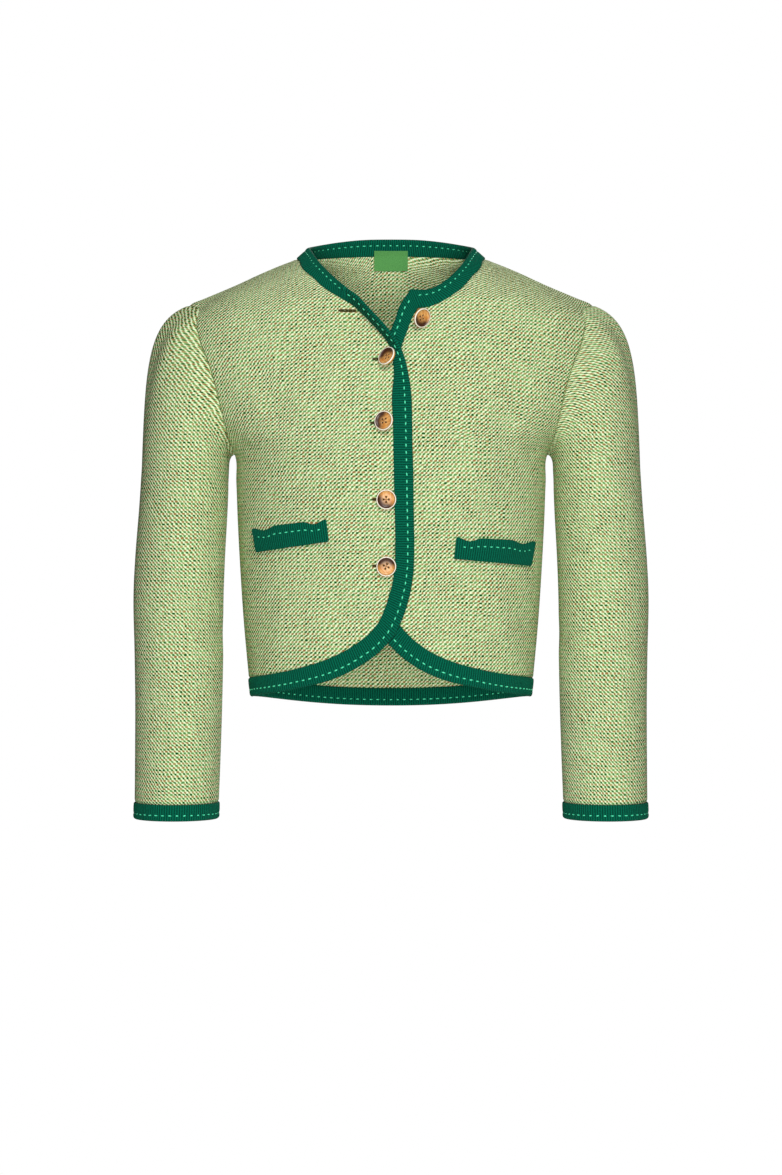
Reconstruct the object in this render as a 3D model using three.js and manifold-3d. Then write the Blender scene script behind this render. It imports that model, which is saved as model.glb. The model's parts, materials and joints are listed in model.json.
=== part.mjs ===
// A hip-length knit cardigan, filled out as it is worn, in millimetres with +Z up.
// The origin is at the height of the neck points, in the middle of the neck, and the fronts face -Y.
// The wearer's left is +X. Each piece of cloth is a thin wall round a middle surface.
import * as THREE from 'three';
import Module from 'manifold-3d';
import { mergeVertices } from 'three/addons/utils/BufferGeometryUtils.js';

const wasm = await Module();
wasm.setup();

// ---- driving dimensions ----
const CLOTH = 2.5; // thickness of the knit
const TRIM = 4; // thickness of the folded trim
const TRIM_EDGE = 2.6; // thickness of the trim at its folded edge
const SEAM_GAP = 0.4; // between two sewn pieces
const ROUNDNESS = 2.2; // exponent of the body's level sections
const SHOULDER_TIP_Z = -49;
const UNDERARM_Z = -204;
const HEM_SEAM_Z = -440; // at the side seams
const HEM_EDGE_Z = -458;
const BACK_HEM_DROP = 13.5; // how much lower the hem hangs at the centre of the back
const BACK_NECK_Z = 11.6;
const BACK_NECK_CURVE = 1.2; // exponent of the back neck seam's fall towards the neck points
const CUFF_SEAM_Z = -567;
const CUFF_EDGE_Z = -583;
const UNDER_FRONT_TUCK = 4.8; // how far the under front lies inside the top one
const LAP_FROM = 26; // the tuck fades out between these distances from the centre line
const LAP_TO = 80;
const BUTTON_RADIUS = 10;
const BUTTON_HALF_THICKNESS = 1.7;
const BUTTON_CLEARANCE = 0.5;
const BUTTONHOLE = { length: 20, height: 1.6, depth: 14 };
const WELT_THICKNESS = 3;
const WELT_CLEARANCE = 0.6;
const LABEL = { width: 36, top: 16.8, bottom: -4.7, thickness: 1, clearance: 0.4 };
const BACK_NECK_LEAN = 0.29; // how far the back neck band leans in for each millimetre of height
const AT_SIDE = 1000; // a distance outside the garment; as an x it is held to the side seam
// The sleeve cap leaves the armhole and arrives at the tube along these handles. At the shoulder
// tip, where its height is 1, each handle is longer by the second figure than at the underarm.
const CAP_LEAVE = { out: 4.5, outByHeight: 40, up: 1.5, upByHeight: -16, swell: 7 };
const CAP_ARRIVE = { out: 0, outByHeight: -3.5, up: 11, upByHeight: 95 };

// ---- how finely the walls are divided ----
const ACROSS_FRONT = 14;
const ACROSS_BACK = 26;
const SHOULDER_STEPS = 5;
const ARMHOLE_STEPS = 12;
const SIDE_STEPS = 10;
const CAP_STEPS = 10;
const SLEEVE_STEPS = 14;
const WELT_COLUMNS = 12;
const WELT_ROWS = 2;
const LABEL_COLUMNS = 6;
const LABEL_ROWS = 4;
const BUTTON_SIDES = 20;
const ARC_STEPS = 600; // along a curve that is cut into even lengths
const TURN_SCALE = 170; // millimetres that stand for one turn where a curve is laid out flat
const FOLDS_END = 0.86; // the turn from which folds fade out towards the side seam
const POINT_GRID = 50; // points closer than 1 / 50 mm count as one

// ---- the body's level sections: half width at the side, and depth in front and behind ----
const BODY = [
  { z: 12, width: 93, front: 62, back: 68 },
  { z: 0, width: 97, front: 63, back: 67 },
  { z: -11, width: 120, front: 68, back: 69 },
  { z: -26.5, width: 157, front: 75, back: 74 },
  { z: -42, width: 195, front: 81, back: 79 },
  { z: -49, width: 211, front: 84, back: 82 },
  { z: -75, width: 220, front: 93, back: 90 },
  { z: -110, width: 216, front: 102, back: 97 },
  { z: -150, width: 201, front: 110, back: 103 },
  { z: -180, width: 183, front: 115, back: 106 },
  { z: -204, width: 163, front: 117, back: 107 },
  { z: -233, width: 161, front: 117, back: 105 },
  { z: -273, width: 159.5, front: 114, back: 102 },
  { z: -325, width: 156.8, front: 108, back: 99 },
  { z: -378, width: 153.3, front: 104, back: 97 },
  { z: -430, width: 148.6, front: 101, back: 98 },
  { z: -472, width: 144.5, front: 100, back: 99 },
];

// ---- the armhole seam: its distance from the centre line at each height ----
const ARMHOLE = [
  { z: -49, x: 211 },
  { z: -62, x: 207 },
  { z: -92, x: 197.5 },
  { z: -110, x: 189 },
  { z: -140, x: 180 },
  { z: -175, x: 172 },
  { z: -194, x: 167 },
  { z: -204, x: 163 },
];

// ---- the sleeve's level sections: centre, half width and half depth ----
const SLEEVE = [
  { z: -219, x: 215.6, y: -2, width: 44.4, depth: 57 },
  { z: -260, x: 217.5, y: -4, width: 45, depth: 56 },
  { z: -310, x: 220.3, y: -8, width: 45.3, depth: 54.5 },
  { z: -357, x: 221.8, y: -13, width: 45.4, depth: 53 },
  { z: -410, x: 221.2, y: -19, width: 44.9, depth: 51 },
  { z: -462, x: 221, y: -24, width: 44, depth: 49.5 },
  { z: -515, x: 221.6, y: -28, width: 43.2, depth: 48 },
  { z: -567, x: 222.6, y: -31, width: 42.4, depth: 46.5 },
  { z: -583, x: 223, y: -32, width: 42.5, depth: 46.5 },
];

// ---- front edges, from the neck corner down to the side of the hem ----
// x is measured from the centre line towards that front's own side, and lift is how far the
// free edge stands forward of the body.
const UNDER_FRONT_EDGE = [
  { freeX: 20, freeZ: -39, seamX: 27.5, seamZ: -58.5, lift: 0 },
  { freeX: 11, freeZ: -53, seamX: 22, seamZ: -67.5, lift: 0 },
  { freeX: 4, freeZ: -72, seamX: 16.5, seamZ: -82, lift: 0 },
  { freeX: -4, freeZ: -91, seamX: 10.5, seamZ: -98.5, lift: 0 },
  { freeX: -13, freeZ: -110, seamX: 5, seamZ: -118, lift: 0 },
  { freeX: -23, freeZ: -134, seamX: -4.5, seamZ: -141, lift: 0 },
  { freeX: -29, freeZ: -163, seamX: -10, seamZ: -166, lift: 0 },
  { freeX: -31, freeZ: -205, seamX: -12, seamZ: -205, lift: 0 },
  { freeX: -31, freeZ: -265, seamX: -12, seamZ: -265, lift: 0 },
  { freeX: -31, freeZ: -322, seamX: -12, seamZ: -320, lift: 0 },
  { freeX: -27, freeZ: -350, seamX: -9.5, seamZ: -343, lift: 0 },
  { freeX: -19, freeZ: -376, seamX: -2.5, seamZ: -365, lift: 0 },
  { freeX: -5, freeZ: -398, seamX: 9, seamZ: -383, lift: 0 },
  { freeX: 11, freeZ: -414, seamX: 22, seamZ: -396.5, lift: 0, cutaway: true },
  { freeX: 32, freeZ: -428, seamX: 38, seamZ: -408.5, lift: 0 },
  { freeX: 57, freeZ: -438.5, seamX: 61, seamZ: -419.5, lift: 0 },
  { freeX: 86, freeZ: -445.5, seamX: 88, seamZ: -427.5, lift: 0 },
  { freeX: 116, freeZ: -451.5, seamX: 117, seamZ: -433.5, lift: 0 },
  { freeX: AT_SIDE, freeZ: HEM_EDGE_Z, seamX: AT_SIDE, seamZ: HEM_SEAM_Z, lift: 0 },
];
// The top front is unbuttoned at the neck, so its upper edge falls open and stands forward.
const TOP_FRONT_EDGE = [
  { freeX: 47, freeZ: -37.5, seamX: 46, seamZ: -51, lift: 9 },
  { freeX: 35.5, freeZ: -47, seamX: 39, seamZ: -54.8, lift: 15 },
  { freeX: 23.5, freeZ: -60.5, seamX: 28, seamZ: -65, lift: 16.5 },
  { freeX: 8, freeZ: -77.5, seamX: 13.2, seamZ: -80.8, lift: 16.5 },
  { freeX: -4, freeZ: -92, seamX: 1.8, seamZ: -95.6, lift: 13.5 },
  { freeX: -12.5, freeZ: -109, seamX: -2.5, seamZ: -112, lift: 8 },
  { freeX: -17, freeZ: -127, seamX: -3.5, seamZ: -129, lift: 6 },
  { freeX: -20, freeZ: -148, seamX: -1.5, seamZ: -149, lift: 2 },
  { freeX: -21, freeZ: -180, seamX: -2.5, seamZ: -180, lift: 0 },
  { freeX: -21.5, freeZ: -210, seamX: -3, seamZ: -210, lift: 0 },
  { freeX: -22.3, freeZ: -258, seamX: -4, seamZ: -258, lift: 0 },
  { freeX: -23, freeZ: -302, seamX: -4.8, seamZ: -302, lift: 0 },
  { freeX: -22, freeZ: -331, seamX: -3.8, seamZ: -327, lift: 0 },
  { freeX: -17.5, freeZ: -356, seamX: 0.5, seamZ: -349, lift: 0 },
  { freeX: -10.5, freeZ: -377, seamX: 6, seamZ: -366, lift: 0 },
  { freeX: 0, freeZ: -396, seamX: 13.5, seamZ: -381.5, lift: 0 },
  { freeX: 14, freeZ: -411, seamX: 25, seamZ: -394, lift: 0, cutaway: true },
  { freeX: 39, freeZ: -427.5, seamX: 46, seamZ: -408.5, lift: 0 },
  { freeX: 64, freeZ: -438.5, seamX: 70, seamZ: -419.5, lift: 0 },
  { freeX: 95, freeZ: -446.5, seamX: 98, seamZ: -428, lift: 0 },
  { freeX: 122, freeZ: -452, seamX: 123, seamZ: -433.5, lift: 0 },
  { freeX: AT_SIDE, freeZ: HEM_EDGE_Z, seamX: AT_SIDE, seamZ: HEM_SEAM_Z, lift: 0 },
];

// ---- the front neck edges, from the corner up to the neck point ----
const UNDER_NECK_EDGE = [
  { freeX: 20, freeY: -79.5, freeZ: -39, seamX: 27.5, seamZ: -58.5 },
  { freeX: 29, freeY: -79, freeZ: -39.5, seamX: 39, seamZ: -57 },
  { freeX: 38, freeY: -78.5, freeZ: -39, seamX: 49, seamZ: -53 },
  { freeX: 47, freeY: -77, freeZ: -35.5, seamX: 61, seamZ: -46 },
  { freeX: 58, freeY: -72, freeZ: -28, seamX: 73, seamZ: -36.5 },
  { freeX: 68, freeY: -62, freeZ: -18, seamX: 84, seamZ: -22.5 },
  { freeX: 76, freeY: -46, freeZ: -7, seamX: 92, seamZ: -9 },
  { freeX: 82, freeY: -25, freeZ: 4, seamX: 95.8, seamZ: -3 },
  { freeX: 85.5, freeY: -2, freeZ: 11.5, seamX: AT_SIDE, seamZ: 0 },
];
const TOP_NECK_EDGE = [
  { freeX: 47, freeY: -88, freeZ: -37.5, seamX: 46, seamZ: -51 },
  { freeX: 54, freeY: -79, freeZ: -30.5, seamX: 55, seamZ: -46 },
  { freeX: 63, freeY: -69, freeZ: -21.5, seamX: 69, seamZ: -36.5 },
  { freeX: 71, freeY: -57, freeZ: -12.5, seamX: 81, seamZ: -24.5 },
  { freeX: 77, freeY: -43, freeZ: -4.5, seamX: 91.5, seamZ: -9.5 },
  { freeX: 82, freeY: -24, freeZ: 4.5, seamX: 95.8, seamZ: -3 },
  { freeX: 85.5, freeY: -2, freeZ: 11.5, seamX: AT_SIDE, seamZ: 0 },
];
// The back neck edge, from the centre back to the neck point.
const BACK_NECK_EDGE = [
  { freeX: 0, freeY: 63, freeZ: 28.5 },
  { freeX: 30, freeY: 59.5, freeZ: 27.5 },
  { freeX: 54, freeY: 50, freeZ: 24 },
  { freeX: 73, freeY: 37, freeZ: 19.5 },
  { freeX: 83.5, freeY: 18, freeZ: 15 },
  { freeX: 85.5, freeY: -2, freeZ: 11.5 },
];

// ---- soft folds of the body: a centre, a direction in degrees, half sizes and a depth ----
const FRONT_FOLDS = [
  { x: -120, z: -150, angle: -62, length: 70, width: 22, depth: -2.2 },
  { x: 124, z: -158, angle: 62, length: 66, width: 22, depth: -2 },
  { x: -98, z: -232, angle: 14, length: 60, width: 26, depth: 1.6 },
  { x: 92, z: -240, angle: -16, length: 56, width: 26, depth: 1.8 },
  { x: -60, z: -345, angle: -70, length: 80, width: 26, depth: -2 },
  { x: 72, z: -352, angle: 76, length: 76, width: 26, depth: -2.2 },
  { x: -112, z: -380, angle: 82, length: 70, width: 20, depth: 1.8 },
  { x: 118, z: -386, angle: -80, length: 66, width: 20, depth: 1.8 },
];
const BACK_FOLDS = [
  { x: -60, z: -105, angle: 24, length: 80, width: 26, depth: -2.2 },
  { x: 64, z: -112, angle: -26, length: 76, width: 26, depth: -2 },
  { x: -118, z: -160, angle: 64, length: 70, width: 22, depth: -2 },
  { x: 114, z: -168, angle: -60, length: 70, width: 22, depth: -2.2 },
  { x: -40, z: -300, angle: 84, length: 100, width: 30, depth: -2.4 },
  { x: 54, z: -320, angle: -82, length: 92, width: 28, depth: -2 },
  { x: 4, z: -380, angle: 88, length: 80, width: 24, depth: 2 },
];
// The hollow beside the band that falls open, on the top front alone.
const OPEN_NECK_HOLLOW = [{ x: -36, z: -88, angle: -45, length: 42, width: 17, depth: -4 }];
// Soft creases of a sleeve: turn is 0 on the outer side, 0.25 in front and 0.5 towards the body.
const SLEEVE_CREASES = [
  { turn: 0.36, z: -305, height: 26, reach: 0.16, depth: -2.4 },
  { turn: 0.3, z: -352, height: 22, reach: 0.18, depth: -2 },
  { turn: 0.42, z: -392, height: 24, reach: 0.15, depth: -2.2 },
  { turn: 0.06, z: -335, height: 90, reach: 0.2, depth: 0.8 },
  { turn: 0.72, z: -300, height: 34, reach: 0.18, depth: -2 },
  { turn: 0.78, z: -420, height: 40, reach: 0.16, depth: -1.8 },
];

// ---- buttons: a place, how far each leans sideways and upwards, and how far it stands off on its thread ----
const BUTTONS = [
  { name: 'button_1', x: 31.6, z: -72.4, on: 'under', leanX: 0.78, leanZ: -0.66, standOff: 6.4 },
  { name: 'button_2', x: -3.8, z: -111.8, on: 'top', leanX: -0.84, leanZ: 0.33, standOff: 5 },
  { name: 'button_3', x: -7, z: -176.7, on: 'top', leanX: -0.44, leanZ: -0.01, standOff: 3 },
  { name: 'button_4', x: -4.8, z: -255, on: 'top', leanX: 0.03, leanZ: 0.05, standOff: 0.6 },
  { name: 'button_5', x: -4.8, z: -322.5, on: 'top', leanX: 0.04, leanZ: 0.02, standOff: 0.5 },
];
// Buttonholes of the top front: the middle of each slot.
const BUTTONHOLES = [
  { x: -50, z: -61.5 },
  { x: -12, z: -112.8 },
  { x: -13.6, z: -178 },
  { x: -12.4, z: -255 },
  { x: -10.8, z: -322 },
];
// Pocket welts: heights of the top and bottom edge at the outer and inner end.
const POCKET_WELTS = [
  { name: 'pocket_welt_right', on: 'top', outerX: -139.5, innerX: -65, outerTop: -286, innerTop: -277.5,
    outerBottom: -307, innerBottom: -296.5, bulge: 2.2 },
  { name: 'pocket_welt_left', on: 'under', outerX: 145.5, innerX: 66, outerTop: -299, innerTop: -295.5,
    outerBottom: -321, innerBottom: -314, bulge: 2.2 },
];

// ---- colours ----
const KNIT_COLOUR = 0xc3cfa2;
const TRIM_COLOUR = 0x0a5a45;
const BUTTON_COLOUR = 0xb98a4c;
const LABEL_COLOUR = 0x4f9a48;

// ---- small helpers ----
const lerp = THREE.MathUtils.lerp;
const ease = (from, to, value) => THREE.MathUtils.smoothstep(value, from, to);

// A value of a table at height z, on a smooth curve through its rows.
function atHeight(table, key, z) {
  let k = 0;
  while (k < table.length - 2 && z < table[k + 1].z) k += 1;
  const slope = (i) => {
    const above = table[Math.max(i - 1, 0)];
    const below = table[Math.min(i + 1, table.length - 1)];
    return (below[key] - above[key]) / (below.z - above.z);
  };
  const a = table[k];
  const b = table[k + 1];
  const span = b.z - a.z;
  const t = THREE.MathUtils.clamp((z - a.z) / span, 0, 1);
  const rise = t * t * (3 - 2 * t);
  const startTangent = t * (1 - t) * (1 - t) * span * slope(k);
  const endTangent = t * t * (t - 1) * span * slope(k + 1);
  return lerp(a[key], b[key], rise) + startTangent + endTangent;
}

// How much the folds move the cloth at a place on the body.
function foldDepth(folds, x, z) {
  let depth = 0;
  for (const fold of folds) {
    const turn = THREE.MathUtils.degToRad(fold.angle);
    const along = (x - fold.x) * Math.cos(turn) + (z - fold.z) * Math.sin(turn);
    const across = (z - fold.z) * Math.cos(turn) - (x - fold.x) * Math.sin(turn);
    const lengthwise = 1 - ease(0, fold.length, Math.abs(along));
    const crosswise = 1 - ease(0, fold.width, Math.abs(across));
    depth += fold.depth * lengthwise * crosswise;
  }
  return depth;
}

// The turn of a place round the body: 0 at the centre line, 1 at the side seam.
function turnOf(x, z) {
  const ratio = Math.min(Math.abs(x) / atHeight(BODY, 'width', z), 1);
  return Math.sign(x) * Math.asin(ratio ** (ROUNDNESS / 2)) / (Math.PI / 2);
}

// The point of the body's surface at a turn and a height, pushed out by the folds and an offset.
function bodyPoint(turn, z, facing, offsetAt = () => 0) {
  const angle = Math.min(Math.abs(turn), 1) * Math.PI / 2;
  const side = Math.sign(turn) || 1;
  const width = atHeight(BODY, 'width', z);
  const depth = atHeight(BODY, facing < 0 ? 'front' : 'back', z);
  const across = Math.sin(angle) ** (2 / ROUNDNESS);
  const forward = Math.max(Math.cos(angle), 0) ** (2 / ROUNDNESS);
  const x = side * width * across;
  const y = facing * depth * forward;
  const outX = side * across ** (ROUNDNESS - 1) / width;
  const outY = facing * forward ** (ROUNDNESS - 1) / depth;
  const size = Math.hypot(outX, outY);
  const push = foldDepth(facing < 0 ? FRONT_FOLDS : BACK_FOLDS, x, z) + offsetAt(x, z);
  const fade = 1 - ease(FOLDS_END, 1, Math.abs(turn));
  return new THREE.Vector3(x + push * fade * outX / size, y + push * fade * outY / size, z);
}

// A smooth curve through (turn, z) places.
function turnCurve(places) {
  const points = places.map((place) => new THREE.Vector3(place.turn * TURN_SCALE, place.z, 0));
  const curve = new THREE.CatmullRomCurve3(points, false, 'centripetal');
  return (t) => {
    const point = curve.getPoint(t);
    return { turn: THREE.MathUtils.clamp(point.x / TURN_SCALE, -1, 1), z: point.y };
  };
}

// Values of t from 0 to 1 that cut a curve into steps of even length.
function evenSteps(pointAt, steps, from = 0, to = 1) {
  const lengths = [0];
  let last = pointAt(from);
  for (let i = 1; i <= ARC_STEPS; i += 1) {
    const next = pointAt(lerp(from, to, i / ARC_STEPS));
    lengths.push(lengths[i - 1] + next.distanceTo(last));
    last = next;
  }
  const values = [];
  for (let i = 0, k = 0; i <= steps; i += 1) {
    const goal = lengths[ARC_STEPS] * i / steps;
    while (k < ARC_STEPS - 1 && lengths[k + 1] < goal) k += 1;
    const part = (goal - lengths[k]) / (lengths[k + 1] - lengths[k]);
    values.push(lerp(from, to, (k + part) / ARC_STEPS));
  }
  return values;
}

// A grid between four edges, given as lists of places; the result has a row for each step down.
function fillBetween(top, bottom, left, right) {
  const mix = (key, u, v, i, j) => {
    const across = lerp(left[i][key], right[i][key], u);
    const down = lerp(top[j][key], bottom[j][key], v);
    const upper = lerp(top[0][key], top[top.length - 1][key], u);
    const lower = lerp(bottom[0][key], bottom[bottom.length - 1][key], u);
    return across + down - lerp(upper, lower, v);
  };
  return left.map((_, i) => top.map((__, j) => {
    const u = j / (top.length - 1);
    const v = i / (left.length - 1);
    const edge = (i === 0 && top[j]) || (i === left.length - 1 && bottom[j])
      || (j === 0 && left[i]) || (j === top.length - 1 && right[i]);
    return edge || { turn: mix('turn', u, v, i, j), z: mix('z', u, v, i, j) };
  }));
}

// ---- walls ----
// A sheet is a grid of middle points. Sheets that share points at a seam share their direction
// there, so both edges lie in one mitre plane.
const outwardAt = new Map();
const keyOf = (point) => point.toArray().map((value) => Math.round(value * POINT_GRID)).join(' ');

function makeSheet(name, grid, material, closed, outwardFrom, halfAt) {
  const rows = grid.length;
  const columns = grid[0].length;
  const quads = closed ? columns : columns - 1;
  const normals = grid.map((row) => row.map(() => new THREE.Vector3()));
  let facing = 0;
  for (let i = 0; i < rows - 1; i += 1) {
    for (let j = 0; j < quads; j += 1) {
      const jn = (j + 1) % columns;
      const first = grid[i + 1][jn].clone().sub(grid[i][j]);
      const second = grid[i + 1][j].clone().sub(grid[i][jn]);
      const normal = first.cross(second).normalize();
      facing += normal.dot(grid[i][j].clone().sub(outwardFrom(grid[i][j])).normalize());
      for (const [a, b] of [[i, j], [i, jn], [i + 1, j], [i + 1, jn]]) normals[a][b].add(normal);
    }
  }
  const sign = Math.sign(facing);
  for (let i = 0; i < rows; i += 1) {
    for (let j = 0; j < columns; j += 1) {
      const key = keyOf(grid[i][j]);
      const own = normals[i][j].normalize().multiplyScalar(sign);
      if (!outwardAt.has(key)) outwardAt.set(key, new THREE.Vector3());
      outwardAt.get(key).add(own);
    }
  }
  return { name, grid, material, closed, sign, halfAt };
}

// The mesh of a sheet: its grid moved out and in by half the thickness, closed at its edges.
function wallOf(sheet) {
  const { grid, closed, halfAt } = sheet;
  const rows = grid.length;
  const columns = grid[0].length;
  const gap = SEAM_GAP / 2;
  const inset = (i, j) => {
    const point = grid[i][j].clone();
    const pull = (to) => point.add(to.clone().sub(grid[i][j]).setLength(gap));
    if (i === 0) pull(grid[1][j]);
    if (i === rows - 1) pull(grid[rows - 2][j]);
    if (!closed && j === 0) pull(grid[i][1]);
    if (!closed && j === columns - 1) pull(grid[i][columns - 2]);
    return point;
  };
  const positions = [];
  for (const way of [1, -1]) {
    for (let i = 0; i < rows; i += 1) {
      for (let j = 0; j < columns; j += 1) {
        const outward = outwardAt.get(keyOf(grid[i][j])).clone().normalize();
        const point = inset(i, j).addScaledVector(outward, way * halfAt(i, j));
        positions.push(point.x, point.y, point.z);
      }
    }
  }
  const outer = (i, j) => i * columns + (j % columns);
  const inner = (i, j) => rows * columns + outer(i, j);
  const faces = [];
  const quad = (a, b, c, d) => faces.push(a, b, c, a, c, d);
  const quads = closed ? columns : columns - 1;
  for (let i = 0; i < rows - 1; i += 1) {
    for (let j = 0; j < quads; j += 1) {
      quad(outer(i, j), outer(i + 1, j), outer(i + 1, j + 1), outer(i, j + 1));
      quad(inner(i, j), inner(i, j + 1), inner(i + 1, j + 1), inner(i + 1, j));
    }
  }
  for (let j = 0; j < quads; j += 1) {
    quad(outer(0, j), outer(0, j + 1), inner(0, j + 1), inner(0, j));
    quad(outer(rows - 1, j + 1), outer(rows - 1, j), inner(rows - 1, j), inner(rows - 1, j + 1));
  }
  if (!closed) {
    const last = columns - 1;
    for (let i = 0; i < rows - 1; i += 1) {
      quad(outer(i + 1, 0), outer(i, 0), inner(i, 0), inner(i + 1, 0));
      quad(outer(i, last), outer(i + 1, last), inner(i + 1, last), inner(i, last));
    }
  }
  const geometry = new THREE.BufferGeometry();
  geometry.setAttribute('position', new THREE.Float32BufferAttribute(positions, 3));
  geometry.setIndex(signedVolume(positions, faces) > 0 ? faces : faces.reverse());
  return geometry;
}

function signedVolume(positions, faces) {
  const corner = (index) => new THREE.Vector3().fromArray(positions, index * 3);
  let volume = 0;
  for (let k = 0; k < faces.length; k += 3) {
    volume += corner(faces[k]).dot(corner(faces[k + 1]).cross(corner(faces[k + 2]))) / 6;
  }
  return volume;
}

// ---- materials ----
const fabric = (color, roughness) => () => new THREE.MeshStandardMaterial({ color, roughness, metalness: 0 });
const knit = fabric(KNIT_COLOUR, 0.95);
const trim = fabric(TRIM_COLOUR, 0.85);

// ---- the seams that two pieces share ----
const sidePlaces = (table, freeOrSeam) => table.map((row) => ({
  turn: turnOf(row[`${freeOrSeam}X`], row[`${freeOrSeam}Z`]),
  z: row[`${freeOrSeam}Z`],
}));

// The shoulder seam, armhole and side seam of one front or of half the back.
function outerEdge(facing) {
  const shoulder = (t) => ({ turn: 1, z: SHOULDER_TIP_Z * t });
  const armhole = (t) => {
    const z = lerp(SHOULDER_TIP_Z, UNDERARM_Z, t);
    return { turn: turnOf(atHeight(ARMHOLE, 'x', z), z), z };
  };
  const side = (t) => ({ turn: 1, z: lerp(UNDERARM_Z, HEM_SEAM_Z, t) });
  const parts = [[shoulder, SHOULDER_STEPS], [armhole, ARMHOLE_STEPS], [side, SIDE_STEPS]];
  const places = [{ turn: 1, z: 0 }];
  for (const [placeAt, steps] of parts) {
    const pointAt = (t) => bodyPoint(placeAt(t).turn, placeAt(t).z, facing);
    places.push(...evenSteps(pointAt, steps).slice(1).map(placeAt));
  }
  return places;
}

const mirror = (point) => new THREE.Vector3(-point.x, point.y, point.z);
const spine = (point) => new THREE.Vector3(0, 0, point.z);
const clothHalf = () => CLOTH / 2;

// A trim's strip of points from its seam to its free edge, for each step along it.
const TRIM_STATIONS = [0, 0.4, 0.82, 1];
const trimHalf = (_, j) => (j === TRIM_STATIONS.length - 1 ? TRIM_EDGE : TRIM) / 2;
function trimGrid(seamPoints, freePoints) {
  return seamPoints.map((seam, i) => TRIM_STATIONS.map((w) => seam.clone().lerp(freePoints[i], w)));
}

// ---- one front: its panel, its band and the neck edge that it shares with the neck band ----
function makeFront(edgeRows, neckRows, offsetAt, isRight) {
  // Everything is worked out on the wearer's left and then moved to its own side.
  const toSide = (point) => (isRight ? mirror(point) : point);
  const surface = (place) => toSide(bodyPoint(isRight ? -place.turn : place.turn, place.z, -1, offsetAt));
  const seamAt = turnCurve(sidePlaces(edgeRows, 'seam'));
  const freeAt = turnCurve(sidePlaces(edgeRows, 'free'));
  const liftCurve = new THREE.CatmullRomCurve3(edgeRows.map((row) => new THREE.Vector3(row.lift, 0, 0)));
  const corner = edgeRows.findIndex((row) => row.cutaway) / (edgeRows.length - 1);
  const rowsDown = SHOULDER_STEPS + ARMHOLE_STEPS + SIDE_STEPS;
  const seamPoint = (t) => surface(seamAt(t));
  const downSteps = evenSteps(seamPoint, rowsDown, 0, corner);
  const hemSteps = evenSteps(seamPoint, ACROSS_FRONT, corner, 1);
  const edgeSteps = [...downSteps, ...hemSteps.slice(1)];

  const neckSeamAt = turnCurve(sidePlaces(neckRows, 'seam'));
  const neckSteps = evenSteps((t) => surface(neckSeamAt(t)), ACROSS_FRONT);
  const neckFree = new THREE.CatmullRomCurve3(neckRows.map((row) => {
    const tuck = isRight ? 0 : offsetAt(row.freeX, row.freeZ);
    return new THREE.Vector3(row.freeX, row.freeY - tuck, row.freeZ);
  }), false, 'centripetal');

  const places = fillBetween(
    neckSteps.map(neckSeamAt),
    hemSteps.map(seamAt),
    downSteps.map(seamAt),
    outerEdge(-1),
  );
  const panel = places.map((row) => row.map(surface));
  const bandSeam = edgeSteps.map(seamPoint);
  const bandFree = edgeSteps.map((t, i) => {
    if (i === 0) return neckFree.getPoint(0);
    const point = surface(freeAt(t));
    point.y -= Math.max(liftCurve.getPoint(t).x, 0);
    return point;
  });
  const neckSeam = neckSteps.map((t) => surface(neckSeamAt(t)));
  const neckEdge = neckSteps.map((t) => neckFree.getPoint(t));
  const placed = (points) => points.map((row) => row.map(toSide));
  return {
    panel: placed(panel),
    band: placed(trimGrid(bandSeam, bandFree)),
    neck: placed(trimGrid(neckSeam, neckEdge)),
  };
}

const underTuck = (x) => -UNDER_FRONT_TUCK * (1 - ease(LAP_FROM, LAP_TO, x));
const openHollow = (x, z) => foldDepth(OPEN_NECK_HOLLOW, x, z);
const left = makeFront(UNDER_FRONT_EDGE, UNDER_NECK_EDGE, underTuck, false);
const right = makeFront(TOP_FRONT_EDGE, TOP_NECK_EDGE, openHollow, true);

// ---- the back and its trims ----
const backHemSeam = (turn) => HEM_SEAM_Z - BACK_HEM_DROP * Math.cos(turn * Math.PI / 2) ** 2;
const backHemEdge = (turn) => HEM_EDGE_Z - BACK_HEM_DROP * Math.cos(turn * Math.PI / 2) ** 2;
const backNeckSeam = (turn) => BACK_NECK_Z * Math.cos(turn * Math.PI / 2) ** BACK_NECK_CURVE;

function makeBack() {
  const steps = (heightAt) => evenSteps(
    (turn) => bodyPoint(turn, heightAt(turn), 1),
    ACROSS_BACK,
    -1,
    1,
  );
  const hemTurns = steps(backHemSeam);
  const neckTurns = steps(backNeckSeam);
  const top = neckTurns.map((turn) => ({ turn, z: backNeckSeam(turn) }));
  const bottom = hemTurns.map((turn) => ({ turn, z: backHemSeam(turn) }));
  const rightSide = outerEdge(1);
  const leftSide = rightSide.map((place) => ({ turn: -place.turn, z: place.z }));
  const surface = (place) => bodyPoint(place.turn, place.z, 1);
  const panel = fillBetween(top, bottom, leftSide, rightSide).map((row) => row.map(surface));
  const hemFree = hemTurns.map((turn) => bodyPoint(turn, backHemEdge(turn), 1));
  const half = BACK_NECK_EDGE.map((row) => new THREE.Vector3(row.freeX, row.freeY, row.freeZ));
  const ring = [...half.slice(1).reverse().map(mirror), ...half];
  const ringCurve = new THREE.CatmullRomCurve3(ring, false, 'centripetal');
  const neckFree = neckTurns.map((turn) => ringCurve.getPoint((turn + 1) / 2));
  return {
    panel,
    hem: trimGrid(bottom.map(surface), hemFree),
    neck: trimGrid(top.map(surface), neckFree),
  };
}
const back = makeBack();

// ---- the neck band: one strip from the under front's corner round the back to the top front's ----
const neckGrid = [
  ...left.neck,
  ...[...back.neck].reverse().slice(1),
  ...[...right.neck].reverse().slice(1),
];

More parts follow.
